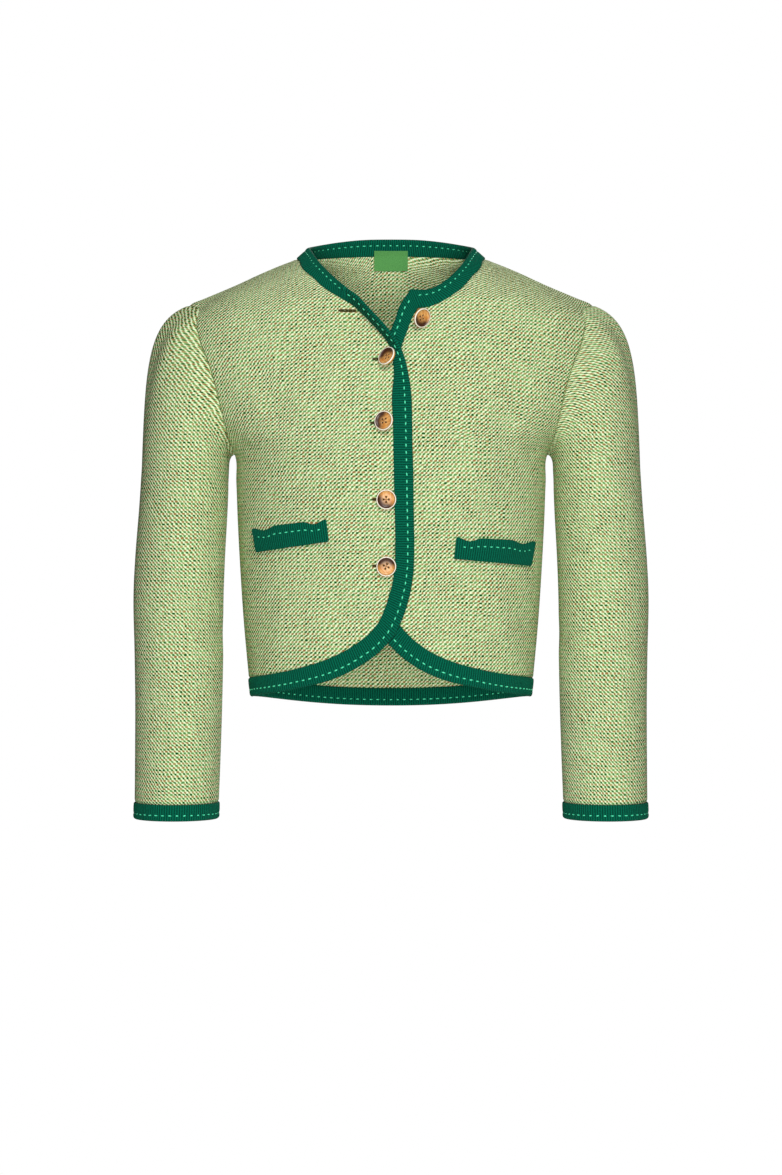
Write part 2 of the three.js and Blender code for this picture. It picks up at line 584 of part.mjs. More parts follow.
// ---- a sleeve: its cap grows out of the armhole, then it runs down to the cuff ----
function sleevePoint(turn, z) {
  const angle = turn * 2 * Math.PI;
  let push = 0;
  for (const crease of SLEEVE_CREASES) {
    const near = Math.abs(turn - crease.turn);
    const round = Math.min(near, 1 - near);
    const roundwise = 1 - ease(0, crease.reach, round);
    const lengthwise = 1 - ease(0, crease.height, Math.abs(z - crease.z));
    push += crease.depth * roundwise * lengthwise;
  }
  const width = atHeight(SLEEVE, 'width', z) + push;
  const depth = atHeight(SLEEVE, 'depth', z) + push;
  const x = atHeight(SLEEVE, 'x', z) + width * Math.cos(angle);
  const y = atHeight(SLEEVE, 'y', z) - depth * Math.sin(angle);
  return new THREE.Vector3(x, y, z);
}

function makeSleeve() {
  const from = SHOULDER_STEPS;
  const to = from + ARMHOLE_STEPS;
  const frontSide = left.panel.slice(from, to + 1).map((row) => row[row.length - 1]);
  const backSide = back.panel.slice(from, to).map((row) => row[row.length - 1]).reverse();
  const loop = [...frontSide, ...backSide.slice(0, -1)];
  const around = loop.length;
  const topOfTube = SLEEVE[0].z;
  const spanZ = SHOULDER_TIP_Z - UNDERARM_Z;
  const caps = loop.map((start, j) => {
    const turn = j / around;
    const height = (start.z - UNDERARM_Z) / spanZ;
    const swell = -CAP_LEAVE.swell * Math.sin(turn * 2 * Math.PI);
    const handle = (way, y) => new THREE.Vector3(
      way.out + way.outByHeight * height,
      y,
      way.up + way.upByHeight * height,
    );
    const end = sleevePoint(turn, topOfTube);
    const leave = start.clone().add(handle(CAP_LEAVE, swell));
    const arrive = end.clone().add(handle(CAP_ARRIVE, 0));
    return new THREE.CubicBezierCurve3(start, leave, arrive, end);
  });
  const rings = [];
  for (let i = 0; i <= CAP_STEPS; i += 1) {
    rings.push(caps.map((cap) => cap.getPoint(i / CAP_STEPS)));
  }
  for (let i = 1; i <= SLEEVE_STEPS; i += 1) {
    const z = lerp(topOfTube, CUFF_SEAM_Z, i / SLEEVE_STEPS);
    rings.push(loop.map((_, j) => sleevePoint(j / around, z)));
  }
  const cuff = TRIM_STATIONS.map((w) => {
    const z = lerp(CUFF_SEAM_Z, CUFF_EDGE_Z, w);
    return loop.map((_, j) => sleevePoint(j / around, z));
  });
  return { rings, cuff };
}
const sleeve = makeSleeve();
const armSpine = (side) => (point) => {
  const z = Math.min(point.z, SLEEVE[0].z);
  return new THREE.Vector3(side * atHeight(SLEEVE, 'x', z), atHeight(SLEEVE, 'y', z), point.z);
};
const mirrorAll = (grid) => grid.map((row) => row.map(mirror));
const cuffHalf = (i) => (i === TRIM_STATIONS.length - 1 ? TRIM_EDGE : TRIM) / 2;

// ---- every sheet of cloth ----
const sheets = [
  makeSheet('back', back.panel, knit, false, spine, clothHalf),
  makeSheet('front_right', right.panel, knit, false, spine, clothHalf),
  makeSheet('front_left', left.panel, knit, false, spine, clothHalf),
  makeSheet('sleeve_right', mirrorAll(sleeve.rings), knit, true, armSpine(-1), clothHalf),
  makeSheet('sleeve_left', sleeve.rings, knit, true, armSpine(1), clothHalf),
  makeSheet('neck_band', neckGrid, trim, false, spine, trimHalf),
  makeSheet('front_band_right', right.band, trim, false, spine, trimHalf),
  makeSheet('front_band_left', left.band, trim, false, spine, trimHalf),
  makeSheet('hem_band_back', back.hem, trim, false, spine, trimHalf),
  makeSheet('cuff_band_right', mirrorAll(sleeve.cuff), trim, true, armSpine(-1), cuffHalf),
  makeSheet('cuff_band_left', sleeve.cuff, trim, true, armSpine(1), cuffHalf),
];

const garment = new THREE.Group();
const addMesh = (name, geometry, material) => {
  const mesh = new THREE.Mesh(geometry, material);
  mesh.name = name;
  garment.add(mesh);
  return mesh;
};
const walls = {};
for (const sheet of sheets) walls[sheet.name] = addMesh(sheet.name, wallOf(sheet), sheet.material());

// ---- places on a panel, found by looking at it from the front ----
const FRONTS = { top: walls.front_right, under: walls.front_left };
for (const front of Object.values(FRONTS)) front.material.side = THREE.DoubleSide;
function onFront(which, x, z) {
  const ray = new THREE.Raycaster(new THREE.Vector3(x, -AT_SIDE, z), new THREE.Vector3(0, 1, 0));
  const hit = ray.intersectObject(FRONTS[which])[0];
  const normal = hit.face.normal.clone();
  if (normal.y > 0) normal.negate();
  return { point: hit.point.clone(), normal };
}

// ---- pocket welts: strips moved out from the panel's own points ----
function makeWelt(welt) {
  const grid = [];
  const reach = WELT_CLEARANCE + WELT_THICKNESS / 2;
  for (let i = 0; i <= WELT_ROWS; i += 1) {
    const row = [];
    for (let j = 0; j <= WELT_COLUMNS; j += 1) {
      const along = j / WELT_COLUMNS;
      const down = i / WELT_ROWS;
      const x = lerp(welt.outerX, welt.innerX, along);
      const top = lerp(welt.outerTop, welt.innerTop, along) - welt.bulge * Math.cos(along * 2 * Math.PI);
      const bottom = lerp(welt.outerBottom, welt.innerBottom, along);
      const place = onFront(welt.on, x, lerp(top, bottom, down));
      row.push(place.point.addScaledVector(place.normal, reach));
    }
    grid.push(row);
  }
  return makeSheet(welt.name, grid, trim, false, spine, () => WELT_THICKNESS / 2);
}
for (const welt of POCKET_WELTS) {
  const sheet = makeWelt(welt);
  addMesh(welt.name, wallOf(sheet), sheet.material());
}

// ---- buttons: turned discs with a raised rim and a dished middle ----
const BUTTON_SECTION = [
  { radius: 0, height: -1 },
  { radius: 0.82, height: -1 },
  { radius: 1, height: -0.35 },
  { radius: 1, height: 0.5 },
  { radius: 0.93, height: 1 },
  { radius: 0.8, height: 0.8 },
  { radius: 0.62, height: 0.3 },
  { radius: 0, height: 0.2 },
];
const buttonProfile = BUTTON_SECTION.map((row) => (
  new THREE.Vector2(row.radius * BUTTON_RADIUS, row.height * BUTTON_HALF_THICKNESS)
));
for (const button of BUTTONS) {
  const place = onFront(button.on, button.x, button.z);
  const lean = new THREE.Vector3(button.leanX, 0, button.leanZ);
  const normal = place.normal.clone().add(lean).normalize();
  const mesh = addMesh(
    button.name,
    new THREE.LatheGeometry(buttonProfile, BUTTON_SIDES),
    new THREE.MeshStandardMaterial({ color: BUTTON_COLOUR, roughness: 0.35, metalness: 0 }),
  );
  mesh.quaternion.setFromUnitVectors(new THREE.Vector3(0, 1, 0), normal);
  mesh.position.copy(place.point);
  mesh.position.addScaledVector(place.normal, BUTTON_CLEARANCE + BUTTON_HALF_THICKNESS + button.standOff);
}

// ---- buttonholes: slots cut through the top front ----
function toSolid(geometry) {
  const bare = geometry.clone();
  for (const name of ['normal', 'uv']) bare.deleteAttribute(name);
  const merged = mergeVertices(bare, 1e-3);
  return new wasm.Manifold(new wasm.Mesh({
    numProp: 3,
    vertProperties: Float32Array.from(merged.attributes.position.array),
    triVerts: Uint32Array.from(merged.index.array),
  }));
}
function fromSolid(solid) {
  const { vertProperties, triVerts } = solid.getMesh();
  const geometry = new THREE.BufferGeometry();
  geometry.setAttribute('position', new THREE.Float32BufferAttribute(vertProperties, 3));
  geometry.setIndex([...triVerts]);
  return geometry;
}
let topFront = toSolid(walls.front_right.geometry);
for (const hole of BUTTONHOLES) {
  const { point } = onFront('top', hole.x, hole.z);
  const slot = new THREE.BoxGeometry(BUTTONHOLE.length, BUTTONHOLE.depth, BUTTONHOLE.height);
  topFront = topFront.subtract(toSolid(slot.translate(point.x, point.y, point.z)));
}
walls.front_right.geometry = fromSolid(topFront);

// ---- the label: a small piece of tape hanging inside the back neck ----
const labelGrid = [];
for (let i = 0; i <= LABEL_ROWS; i += 1) {
  const z = lerp(LABEL.top, LABEL.bottom, i / LABEL_ROWS);
  labelGrid.push([]);
  for (let j = 0; j <= LABEL_COLUMNS; j += 1) {
    const x = LABEL.width * (j / LABEL_COLUMNS - 0.5);
    const seam = bodyPoint(turnOf(x, BACK_NECK_Z), BACK_NECK_Z, 1);
    const bandLean = Math.max(z - BACK_NECK_Z, 0) * BACK_NECK_LEAN;
    const inward = bandLean + TRIM / 2 + LABEL.clearance + LABEL.thickness / 2;
    labelGrid[i].push(new THREE.Vector3(x, seam.y - inward, z));
  }
}
const tape = fabric(LABEL_COLOUR, 0.7);
const labelSheet = makeSheet('neck_label', labelGrid, tape, false, spine, () => LABEL.thickness / 2);
addMesh('neck_label', wallOf(labelSheet), tape());

export default garment;
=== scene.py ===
"""A hip-length knit cardigan, filled out as it is worn: its cloth, trim, stitches, buttons and label.

Sizes are in millimetres, with +Z up, the fronts facing -Y and the wearer's left at +X. They become
metres where a mesh is made. The tables of the body, the sleeves and the edges are those of the
solids, and every piece of cloth is a thin wall on the same middle surface, divided more finely.
"""

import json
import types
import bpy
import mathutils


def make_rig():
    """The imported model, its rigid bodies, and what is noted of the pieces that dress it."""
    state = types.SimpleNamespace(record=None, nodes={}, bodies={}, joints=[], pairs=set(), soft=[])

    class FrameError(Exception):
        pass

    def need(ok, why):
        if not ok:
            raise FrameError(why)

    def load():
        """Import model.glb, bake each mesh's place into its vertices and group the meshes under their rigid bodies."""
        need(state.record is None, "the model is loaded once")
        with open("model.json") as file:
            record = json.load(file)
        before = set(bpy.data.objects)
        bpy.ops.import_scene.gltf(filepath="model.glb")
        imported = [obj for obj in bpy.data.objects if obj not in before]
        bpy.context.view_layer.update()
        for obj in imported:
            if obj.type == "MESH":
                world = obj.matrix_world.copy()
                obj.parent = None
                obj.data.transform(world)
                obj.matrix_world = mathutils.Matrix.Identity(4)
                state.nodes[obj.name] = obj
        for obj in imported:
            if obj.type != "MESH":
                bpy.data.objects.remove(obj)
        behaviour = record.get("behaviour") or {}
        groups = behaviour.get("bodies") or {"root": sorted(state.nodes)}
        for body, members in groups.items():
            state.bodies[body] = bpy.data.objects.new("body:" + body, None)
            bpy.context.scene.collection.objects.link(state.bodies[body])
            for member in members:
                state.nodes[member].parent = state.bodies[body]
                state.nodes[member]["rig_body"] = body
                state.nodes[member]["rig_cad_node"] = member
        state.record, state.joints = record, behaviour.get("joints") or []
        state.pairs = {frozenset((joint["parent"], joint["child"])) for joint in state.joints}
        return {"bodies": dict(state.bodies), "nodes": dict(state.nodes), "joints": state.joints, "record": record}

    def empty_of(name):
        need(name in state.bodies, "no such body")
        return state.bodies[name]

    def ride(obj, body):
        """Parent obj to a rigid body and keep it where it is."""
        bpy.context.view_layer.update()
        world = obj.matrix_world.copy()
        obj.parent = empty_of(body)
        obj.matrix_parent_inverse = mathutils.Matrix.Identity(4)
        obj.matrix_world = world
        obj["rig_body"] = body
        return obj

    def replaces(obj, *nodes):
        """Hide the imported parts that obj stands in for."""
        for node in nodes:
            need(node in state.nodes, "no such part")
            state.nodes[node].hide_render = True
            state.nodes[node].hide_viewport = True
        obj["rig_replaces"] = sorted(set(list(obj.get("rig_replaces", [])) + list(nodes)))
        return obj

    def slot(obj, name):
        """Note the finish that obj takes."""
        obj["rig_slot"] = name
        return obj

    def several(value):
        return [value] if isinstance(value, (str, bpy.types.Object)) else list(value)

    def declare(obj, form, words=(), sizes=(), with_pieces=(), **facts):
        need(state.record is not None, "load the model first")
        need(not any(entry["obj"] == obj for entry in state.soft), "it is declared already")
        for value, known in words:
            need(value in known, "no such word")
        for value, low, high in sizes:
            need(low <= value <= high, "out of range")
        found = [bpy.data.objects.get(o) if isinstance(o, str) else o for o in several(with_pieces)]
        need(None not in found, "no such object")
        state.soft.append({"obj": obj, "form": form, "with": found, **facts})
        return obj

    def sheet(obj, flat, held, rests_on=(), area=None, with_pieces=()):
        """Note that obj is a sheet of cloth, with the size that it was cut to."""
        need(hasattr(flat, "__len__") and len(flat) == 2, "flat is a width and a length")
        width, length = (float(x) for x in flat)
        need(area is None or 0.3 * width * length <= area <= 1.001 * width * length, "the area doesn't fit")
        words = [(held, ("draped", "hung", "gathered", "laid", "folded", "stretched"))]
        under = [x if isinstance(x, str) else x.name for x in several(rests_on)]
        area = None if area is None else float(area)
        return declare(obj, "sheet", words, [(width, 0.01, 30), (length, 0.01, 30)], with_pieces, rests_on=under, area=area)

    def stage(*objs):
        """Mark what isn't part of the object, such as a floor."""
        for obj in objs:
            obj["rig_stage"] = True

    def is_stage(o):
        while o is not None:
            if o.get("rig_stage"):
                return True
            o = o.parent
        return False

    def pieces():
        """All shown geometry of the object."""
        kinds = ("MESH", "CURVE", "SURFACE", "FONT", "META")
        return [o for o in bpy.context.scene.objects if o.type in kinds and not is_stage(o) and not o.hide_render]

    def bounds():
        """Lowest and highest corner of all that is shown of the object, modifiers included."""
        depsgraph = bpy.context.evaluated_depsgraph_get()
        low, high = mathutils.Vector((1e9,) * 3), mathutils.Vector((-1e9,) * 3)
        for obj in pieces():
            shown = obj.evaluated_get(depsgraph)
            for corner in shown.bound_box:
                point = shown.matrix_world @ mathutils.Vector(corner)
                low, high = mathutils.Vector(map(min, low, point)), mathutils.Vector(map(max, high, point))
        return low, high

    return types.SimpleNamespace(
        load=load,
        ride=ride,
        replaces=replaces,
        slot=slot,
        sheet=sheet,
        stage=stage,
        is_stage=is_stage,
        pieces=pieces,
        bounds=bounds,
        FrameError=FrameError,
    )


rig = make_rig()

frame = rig.load()
CAD_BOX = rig.bounds()

import json
import math

import bpy
import numpy as np
from mathutils import Matrix, Vector

MM = 0.001


def table(text, **named):
    """Named columns, each as an array, from a line of names and lines of numbers or named values."""
    names, *rows = (line.split() for line in text.strip().splitlines())
    return dict(zip(names, np.array([[float(named.get(word, word)) for word in row] for row in rows]).T))


def folds(text):
    """Soft folds: a centre, a direction in degrees, half sizes and a depth."""
    return table("x z angle length width depth" + text)


# ---- driving sizes ----
CLOTH = 2.5  # thickness of the knit
TRIM = 4.0  # thickness of the folded trim
ROUNDNESS = 2.2  # exponent of the body's level sections
SHOULDER_TIP_Z = -49
UNDERARM_Z = -204
HEM_SEAM_Z = -440
HEM_EDGE_Z = -458
BACK_HEM_DROP = 13.5
BACK_NECK_Z = 11.6
BACK_NECK_CURVE = 1.2
BACK_NECK_LEAN = 0.29
CUFF_SEAM_Z = -567
CUFF_EDGE_Z = -583
UNDER_FRONT_TUCK = 4.8
LAP_FROM = 26
LAP_TO = 80
# Where the shoulder's bend is evened out: heights, and turns near the middle and near the seams.
YOKE = {"low": -110, "reach": 28, "samples": 11, "inner": (0.2, 0.45), "outer": (0.82, 1)}
FOLDS_END = 0.86  # the turn from which folds fade out towards the side seam
TURN_SCALE = 170  # millimetres that stand for one turn where a curve is laid out flat
AT_SIDE = 1000  # further out than any side seam, for a row that ends a curve there
EDGE_END = {"side": AT_SIDE, "edge": HEM_EDGE_Z, "seam": HEM_SEAM_Z}
TURN_NUDGE = 0.001  # steps to either side that give a surface's direction
Z_NUDGE = 0.1
PLACES_PER_MM = 20  # how finely the places of two sheets are told apart at their seam

# ---- how finely the cloth is divided: a multiple of the solids' own steps ----
SHOULDER_STEPS = 5 * 7
ARMHOLE_STEPS = 12 * 6
SIDE_STEPS = 10 * 7
ACROSS_FRONT = 14 * 5
ACROSS_BACK = 26 * 4
CAP_STEPS = 10 * 4
SLEEVE_STEPS = 14 * 7
ARC_STEPS = 1200
SOFTENING_ROUNDS = 120  # times that each place moves to the middle of its neighbours

# ---- the body's level sections ----
BODY = table("""
z width front back
12 93 62 68
0 97 63 67
-11 120 68 69
-26.5 157 75 74
-42 195 81 79
-49 211 84 82
-75 220 93 90
-110 216 102 97
-150 201 110 103
-180 183 115 106
-204 163 117 107
-233 161 117 105
-273 159.5 114 102
-325 156.8 108 99
-378 153.3 104 97
-430 148.6 101 98
-472 144.5 100 99
""")
ARMHOLE = table("""
z x
-49 211
-62 207
-92 197.5
-110 189
-140 180
-175 172
-194 167
-204 163
""")
SLEEVE = table("""
z x y width depth
-219 215.6 -2 44.4 57
-260 217.5 -4 45 56
-310 220.3 -8 45.3 54.5
-357 221.8 -13 45.4 53
-410 221.2 -19 44.9 51
-462 221 -24 44 49.5
-515 221.6 -28 43.2 48
-567 222.6 -31 42.4 46.5
-583 223 -32 42.5 46.5
""")
# The cap's handles, longer by the second figure at the shoulder tip than at the underarm.
CAP_LEAVE = {"out": (4.5, 40), "up": (1.5, -16), "swell": 7}
CAP_ARRIVE = {"out": (0, -3.5), "up": (11, 95)}

# ---- the fronts' edges, with x towards that front's own side ----
UNDER_FRONT_EDGE = table("""
freeX freeZ seamX seamZ lift
20 -39 27.5 -58.5 0
11 -53 22 -67.5 0
4 -72 16.5 -82 0
-4 -91 10.5 -98.5 0
-13 -110 5 -118 0
-23 -134 -4.5 -141 0
-29 -163 -10 -166 0
-31 -205 -12 -205 0
-31 -265 -12 -265 0
-31 -322 -12 -320 0
-27 -350 -9.5 -343 0
-19 -376 -2.5 -365 0
-5 -398 9 -383 0
11 -414 22 -396.5 0
32 -428 38 -408.5 0
57 -438.5 61 -419.5 0
86 -445.5 88 -427.5 0
116 -451.5 117 -433.5 0
side edge side seam 0
""", **EDGE_END)
UNDER_CUTAWAY_ROW = 13
TOP_FRONT_EDGE = table("""
freeX freeZ seamX seamZ lift
47 -37.5 46 -51 9
35.5 -47 39 -54.8 15
23.5 -60.5 28 -65 16.5
8 -77.5 13.2 -80.8 16.5
-4 -92 1.8 -95.6 13.5
-12.5 -109 -2.5 -112 8
-17 -127 -3.5 -129 6
-20 -148 -1.5 -149 2
-21 -180 -2.5 -180 0
-21.5 -210 -3 -210 0
-22.3 -258 -4 -258 0
-23 -302 -4.8 -302 0
-22 -331 -3.8 -327 0
-17.5 -356 0.5 -349 0
-10.5 -377 6 -366 0
0 -396 13.5 -381.5 0
14 -411 25 -394 0
39 -427.5 46 -408.5 0
64 -438.5 70 -419.5 0
95 -446.5 98 -428 0
122 -452 123 -433.5 0
side edge side seam 0
""", **EDGE_END)
TOP_CUTAWAY_ROW = 16
UNDER_NECK_EDGE = table("""
freeX freeY freeZ seamX seamZ
20 -79.5 -39 27.5 -58.5
29 -79 -39.5 39 -57
38 -78.5 -39 49 -53
47 -77 -35.5 61 -46
58 -72 -28 73 -36.5
68 -62 -18 84 -22.5
76 -46 -7 92 -9
82 -25 4 95.8 -3
85.5 -2 11.5 side 0
""", **EDGE_END)
TOP_NECK_EDGE = table("""
freeX freeY freeZ seamX seamZ
47 -88 -37.5 46 -51
54 -79 -30.5 55 -46
63 -69 -21.5 69 -36.5
71 -57 -12.5 81 -24.5
77 -43 -4.5 91.5 -9.5
82 -24 4.5 95.8 -3
85.5 -2 11.5 side 0
""", **EDGE_END)
BACK_NECK_EDGE = table("""
freeX freeY freeZ
0 63 28.5
30 59.5 27.5
54 50 24
73 37 19.5
83.5 18 15
85.5 -2 11.5
""")

# ---- soft folds ----
FRONT_FOLDS = folds("""
-120 -150 -62 70 22 -2.2
124 -158 62 66 22 -2
-98 -232 14 60 26 1.6
92 -240 -16 56 26 1.8
-60 -345 -70 80 26 -2
72 -352 76 76 26 -2.2
-112 -380 82 70 20 1.8
118 -386 -80 66 20 1.8
""")
BACK_FOLDS = folds("""
-60 -105 24 80 26 -2.2
64 -112 -26 76 26 -2
-118 -160 64 70 22 -2
114 -168 -60 70 22 -2.2
-40 -300 84 100 30 -2.4
54 -320 -82 92 28 -2
4 -380 88 80 24 2
""")
OPEN_NECK_FOLDS = folds("""
-36 -88 -45 42 17 -4
-31 -75 -47 40 13 -4.2
""")
SLEEVE_CREASES = table("""
turn z height reach depth
0.36 -305 26 0.16 -2.4
0.3 -352 22 0.18 -2
0.42 -392 24 0.15 -2.2
0.06 -335 90 0.2 0.8
0.72 -300 34 0.18 -2
0.78 -420 40 0.16 -1.8
""")

# ---- fine creases, softer than the folds of the solids ----
FINE_FRONT_CREASES = folds("""
-150 -196 -38 34 9 -1.2
-132 -222 -20 44 10 -0.9
148 -200 40 36 9 -1.1
128 -226 22 42 10 -0.9
-30 -150 68 40 14 0.8
34 -140 -60 44 12 -0.8
-44 -205 12 34 12 0.7
52 -198 -14 30 12 0.7
""")
FINE_BACK_CREASES = folds("""
-146 -198 -36 36 10 -1.2
150 -204 38 34 10 -1.1
-92 -226 -14 52 12 -0.9
84 -236 16 46 12 -0.8
-20 -180 80 60 14 0.8
26 -150 -74 50 13 0.7
0 -30 4 60 10 -0.8
""")
FINE_SLEEVE_CREASES = table("""
turn z height reach depth
0.44 -232 12 0.1 -1.4
0.4 -262 14 0.12 -1.1
0.24 -330 12 0.1 -0.9
0.34 -372 12 0.12 -1.2
0.27 -418 14 0.1 -0.8
0.62 -258 14 0.12 -1.2
0.7 -346 16 0.12 -1.1
0.66 -386 14 0.12 -1.0
0.2 -520 30 0.14 -0.7
0.86 -500 30 0.14 -0.8
""")

# ---- what lies on the fronts and inside the neck ----
BUTTONHOLES = table("""
x z
-44.5 -62
-9.5 -112.8
-11.5 -178
-10 -255
-9.5 -322
""")
POCKET_WELTS = table("""
outerX innerX outerTop innerTop outerBottom innerBottom bulge outerLean innerLean
-139.5 -65 -286 -277.5 -307 -296.5 2.2 4.3 2.6
145.5 66 -299 -295.5 -321 -314 2.2 -4.7 -2.1
""")
# The top edge dips by the bulge times "depth", over the part "dip" of its length at each end.
WELT = {"thickness": 3.0, "clearance": 0.6, "dip": 0.32, "depth": 1.5, "sunk": 0.38, "steps": 240}
LABEL = {"width": 36, "top": 16.8, "bottom": -4.7, "thickness": 1, "clearance": 0.4}
LABEL_TAPE = {"half": 0.3, "turned": 0.25, "fold": 5.0, "soft": 0.5, "columns": 72, "rows": 44}


# ---- helpers for smooth values and curves ----
def ease(start, end, value):
    """0 up to start, 1 from end on, and smooth between them."""
    t = np.clip((value - start) / (end - start), 0, 1)
    return t * t * (3 - 2 * t)


def mix(a, b, t):
    return a + (b - a) * t


def stack(*parts):
    """Arrays of numbers as one array of points or places."""
    return np.stack(np.broadcast_arrays(*parts), -1)


def unit(directions):
    return directions / np.linalg.norm(directions, axis=-1, keepdims=True)


def at_height(rows, key, z):
    """A column of a table at height z, on a smooth curve through its rows."""
    z = np.asarray(z, float)
    heights, values = rows["z"], rows[key]
    last = len(heights) - 1
    k = np.clip(np.searchsorted(-heights, -z) - 1, 0, last - 1)
    index = np.arange(last + 1)
    above, below = np.maximum(index - 1, 0), np.minimum(index + 1, last)
    slope = (values[below] - values[above]) / (heights[below] - heights[above])
    span = heights[k + 1] - heights[k]
    t = np.clip((z - heights[k]) / span, 0, 1)
    level = mix(values[k], values[k + 1], t * t * (3 - 2 * t))
    return level + span * (t * (1 - t) ** 2 * slope[k] + t * t * (t - 1) * slope[k + 1])


SHORTEST_CHORD = 1e-4


class SmoothCurve:
    """A centripetal Catmull-Rom curve through points, with t from 0 to 1 and even over the points."""

    def __init__(self, points):
        points = np.asarray(points, float)
        first = 2 * points[0] - points[1]
        last = 2 * points[-1] - points[-2]
        self.points = np.vstack([first, points, last])

    def __call__(self, t):
        spans = len(self.points) - 3
        place = np.clip(np.atleast_1d(t), 0, 1) * spans
        k = np.minimum(place.astype(int), spans - 1)
        w = (place - k)[:, None]
        a, b, c, d = (self.points[k + i] for i in range(4))
        chord = lambda p, q: np.linalg.norm(q - p, axis=1, keepdims=True) ** 0.5
        instead = lambda chords, other: np.where(chords < SHORTEST_CHORD, other, chords)
        middle = instead(chord(b, c), 1.0)
        before, after = instead(chord(a, b), middle), instead(chord(c, d), middle)
        leave = middle * ((b - a) / before - (c - a) / (before + middle)) + (c - b)
        arrive = (c - b) - middle * ((d - b) / (middle + after) - (d - c) / after)
        bend = -3 * b + 3 * c - 2 * leave - arrive
        return b + w * leave + w**2 * bend + w**3 * (2 * b - 2 * c + leave + arrive)


def even_steps(point_at, steps, start=0.0, end=1.0):
    """Values of t that cut the curve point_at(t) into steps of even length."""
    t = np.linspace(start, end, ARC_STEPS + 1)
    lengths = arc_lengths(point_at(t))
    return np.interp(np.linspace(0, lengths[-1], steps + 1), lengths, t)


def arc_lengths(points):
    """How far along a line of points each one is."""
    return np.concatenate([[0], np.cumsum(np.linalg.norm(np.diff(points, axis=0), axis=1))])


def between(where, stops, values):
    """Rows of values, which are given at rising stops, at places between them."""
    return stack(*(np.interp(where, stops, column) for column in values.T))


def round_angles(count):
    return np.arange(count) * 2 * math.pi / count


def fill_between(top, bottom, left, right):
    """A grid of places between four edges, with a row for each step down, whose lines bend softly."""
    u = np.linspace(0, 1, len(top))[None, :, None]
    v = np.linspace(0, 1, len(left))[:, None, None]
    across = mix(left[:, None], right[:, None], u)
    down = mix(top[None], bottom[None], v)
    corners = mix(mix(top[0], top[-1], u), mix(bottom[0], bottom[-1], u), v)
    grid = across + down - corners
    for _ in range(SOFTENING_ROUNDS):
        grid[1:-1, 1:-1] = (grid[:-2, 1:-1] + grid[2:, 1:-1] + grid[1:-1, :-2] + grid[1:-1, 2:]) / 4
    return grid


# ---- the body's surface ----
def fold_depth(folds, x, z):
    depth = 0.0
    for fx, fz, angle, length, width, height in zip(*folds.values()):
        turn = math.radians(angle)
        along = (x - fx) * math.cos(turn) + (z - fz) * math.sin(turn)
        across = (z - fz) * math.cos(turn) - (x - fx) * math.sin(turn)
        depth = depth + height * (1 - ease(0, length, abs(along))) * (1 - ease(0, width, abs(across)))
    return depth


def turn_of(x, z):
    """The turn of a place round the body: 0 at the centre line, 1 at the side seam."""
    ratio = np.minimum(np.abs(x) / at_height(BODY, "width", z), 1)
    return np.sign(x) * np.arcsin(ratio ** (ROUNDNESS / 2)) / (math.pi / 2)


def eased_width(turn, z):
    """The body's half width, evened out over the shoulder's bend except at its seams and near the middle."""
    spread = np.linspace(-YOKE["reach"], YOKE["reach"], YOKE["samples"])
    even = sum(at_height(BODY, "width", z + step) for step in spread) / len(spread)
    near_z = ease(YOKE["low"], YOKE["low"] + YOKE["reach"], z) * (1 - ease(-YOKE["reach"], 0, z))
    near_turn = ease(*YOKE["inner"], turn) * (1 - ease(*YOKE["outer"], turn))
    return mix(at_height(BODY, "width", z), even, near_z * near_turn)


def section(turn):
    """How far across and forward a level section is at a turn, as parts of its half sizes."""
    angle = np.minimum(np.abs(turn), 1) * math.pi / 2
    return np.sin(angle) ** (2 / ROUNDNESS), np.maximum(np.cos(angle), 0) ** (2 / ROUNDNESS)


def body_point(turn, z, facing, offset=lambda x, z: 0.0):
    """The point of the body's surface at a turn and a height, pushed out by folds and an offset."""
    side = np.where(turn < 0, -1.0, 1.0)
    width = eased_width(abs(turn), z)
    depth = at_height(BODY, "front" if facing < 0 else "back", z)
    across, forward = section(turn)
    x = side * width * across
    y = facing * depth * forward
    out_x = side * across ** (ROUNDNESS - 1) / width
    out_y = facing * forward ** (ROUNDNESS - 1) / depth
    size = np.hypot(out_x, out_y)
    push = fold_depth(FRONT_FOLDS if facing < 0 else BACK_FOLDS, x, z) + offset(x, z)
    push = push * (1 - ease(FOLDS_END, 1, np.abs(turn)))
    return stack(x + push * out_x / size, y + push * out_y / size, z)


def body_normals(places, facing, offset):
    """The outward directions of the body's surface at places of (turn, z)."""
    turn = np.clip(places[..., 0], -1 + TURN_NUDGE, 1 - TURN_NUDGE)
    z = places[..., 1]
    at = lambda turn_step, z_step: body_point(turn + turn_step, z + z_step, facing, offset)
    along = at(TURN_NUDGE, 0) - at(-TURN_NUDGE, 0)
    down = at(0, -Z_NUDGE) - at(0, Z_NUDGE)
    normals = unit(np.cross(along, down))
    away = (normals * at(0, 0) * (1, 1, 0)).sum(-1, keepdims=True)
    return normals * np.sign(away)


def turn_curve(x, z):
    """The curve through places that are given by x and z, as a function to (turn, z)."""
    curve = SmoothCurve(stack(turn_of(x, z) * TURN_SCALE, z, 0))

    def place_at(t):
        point = curve(t)
        return stack(np.clip(point[:, 0] / TURN_SCALE, -1, 1), point[:, 1])

    return place_at


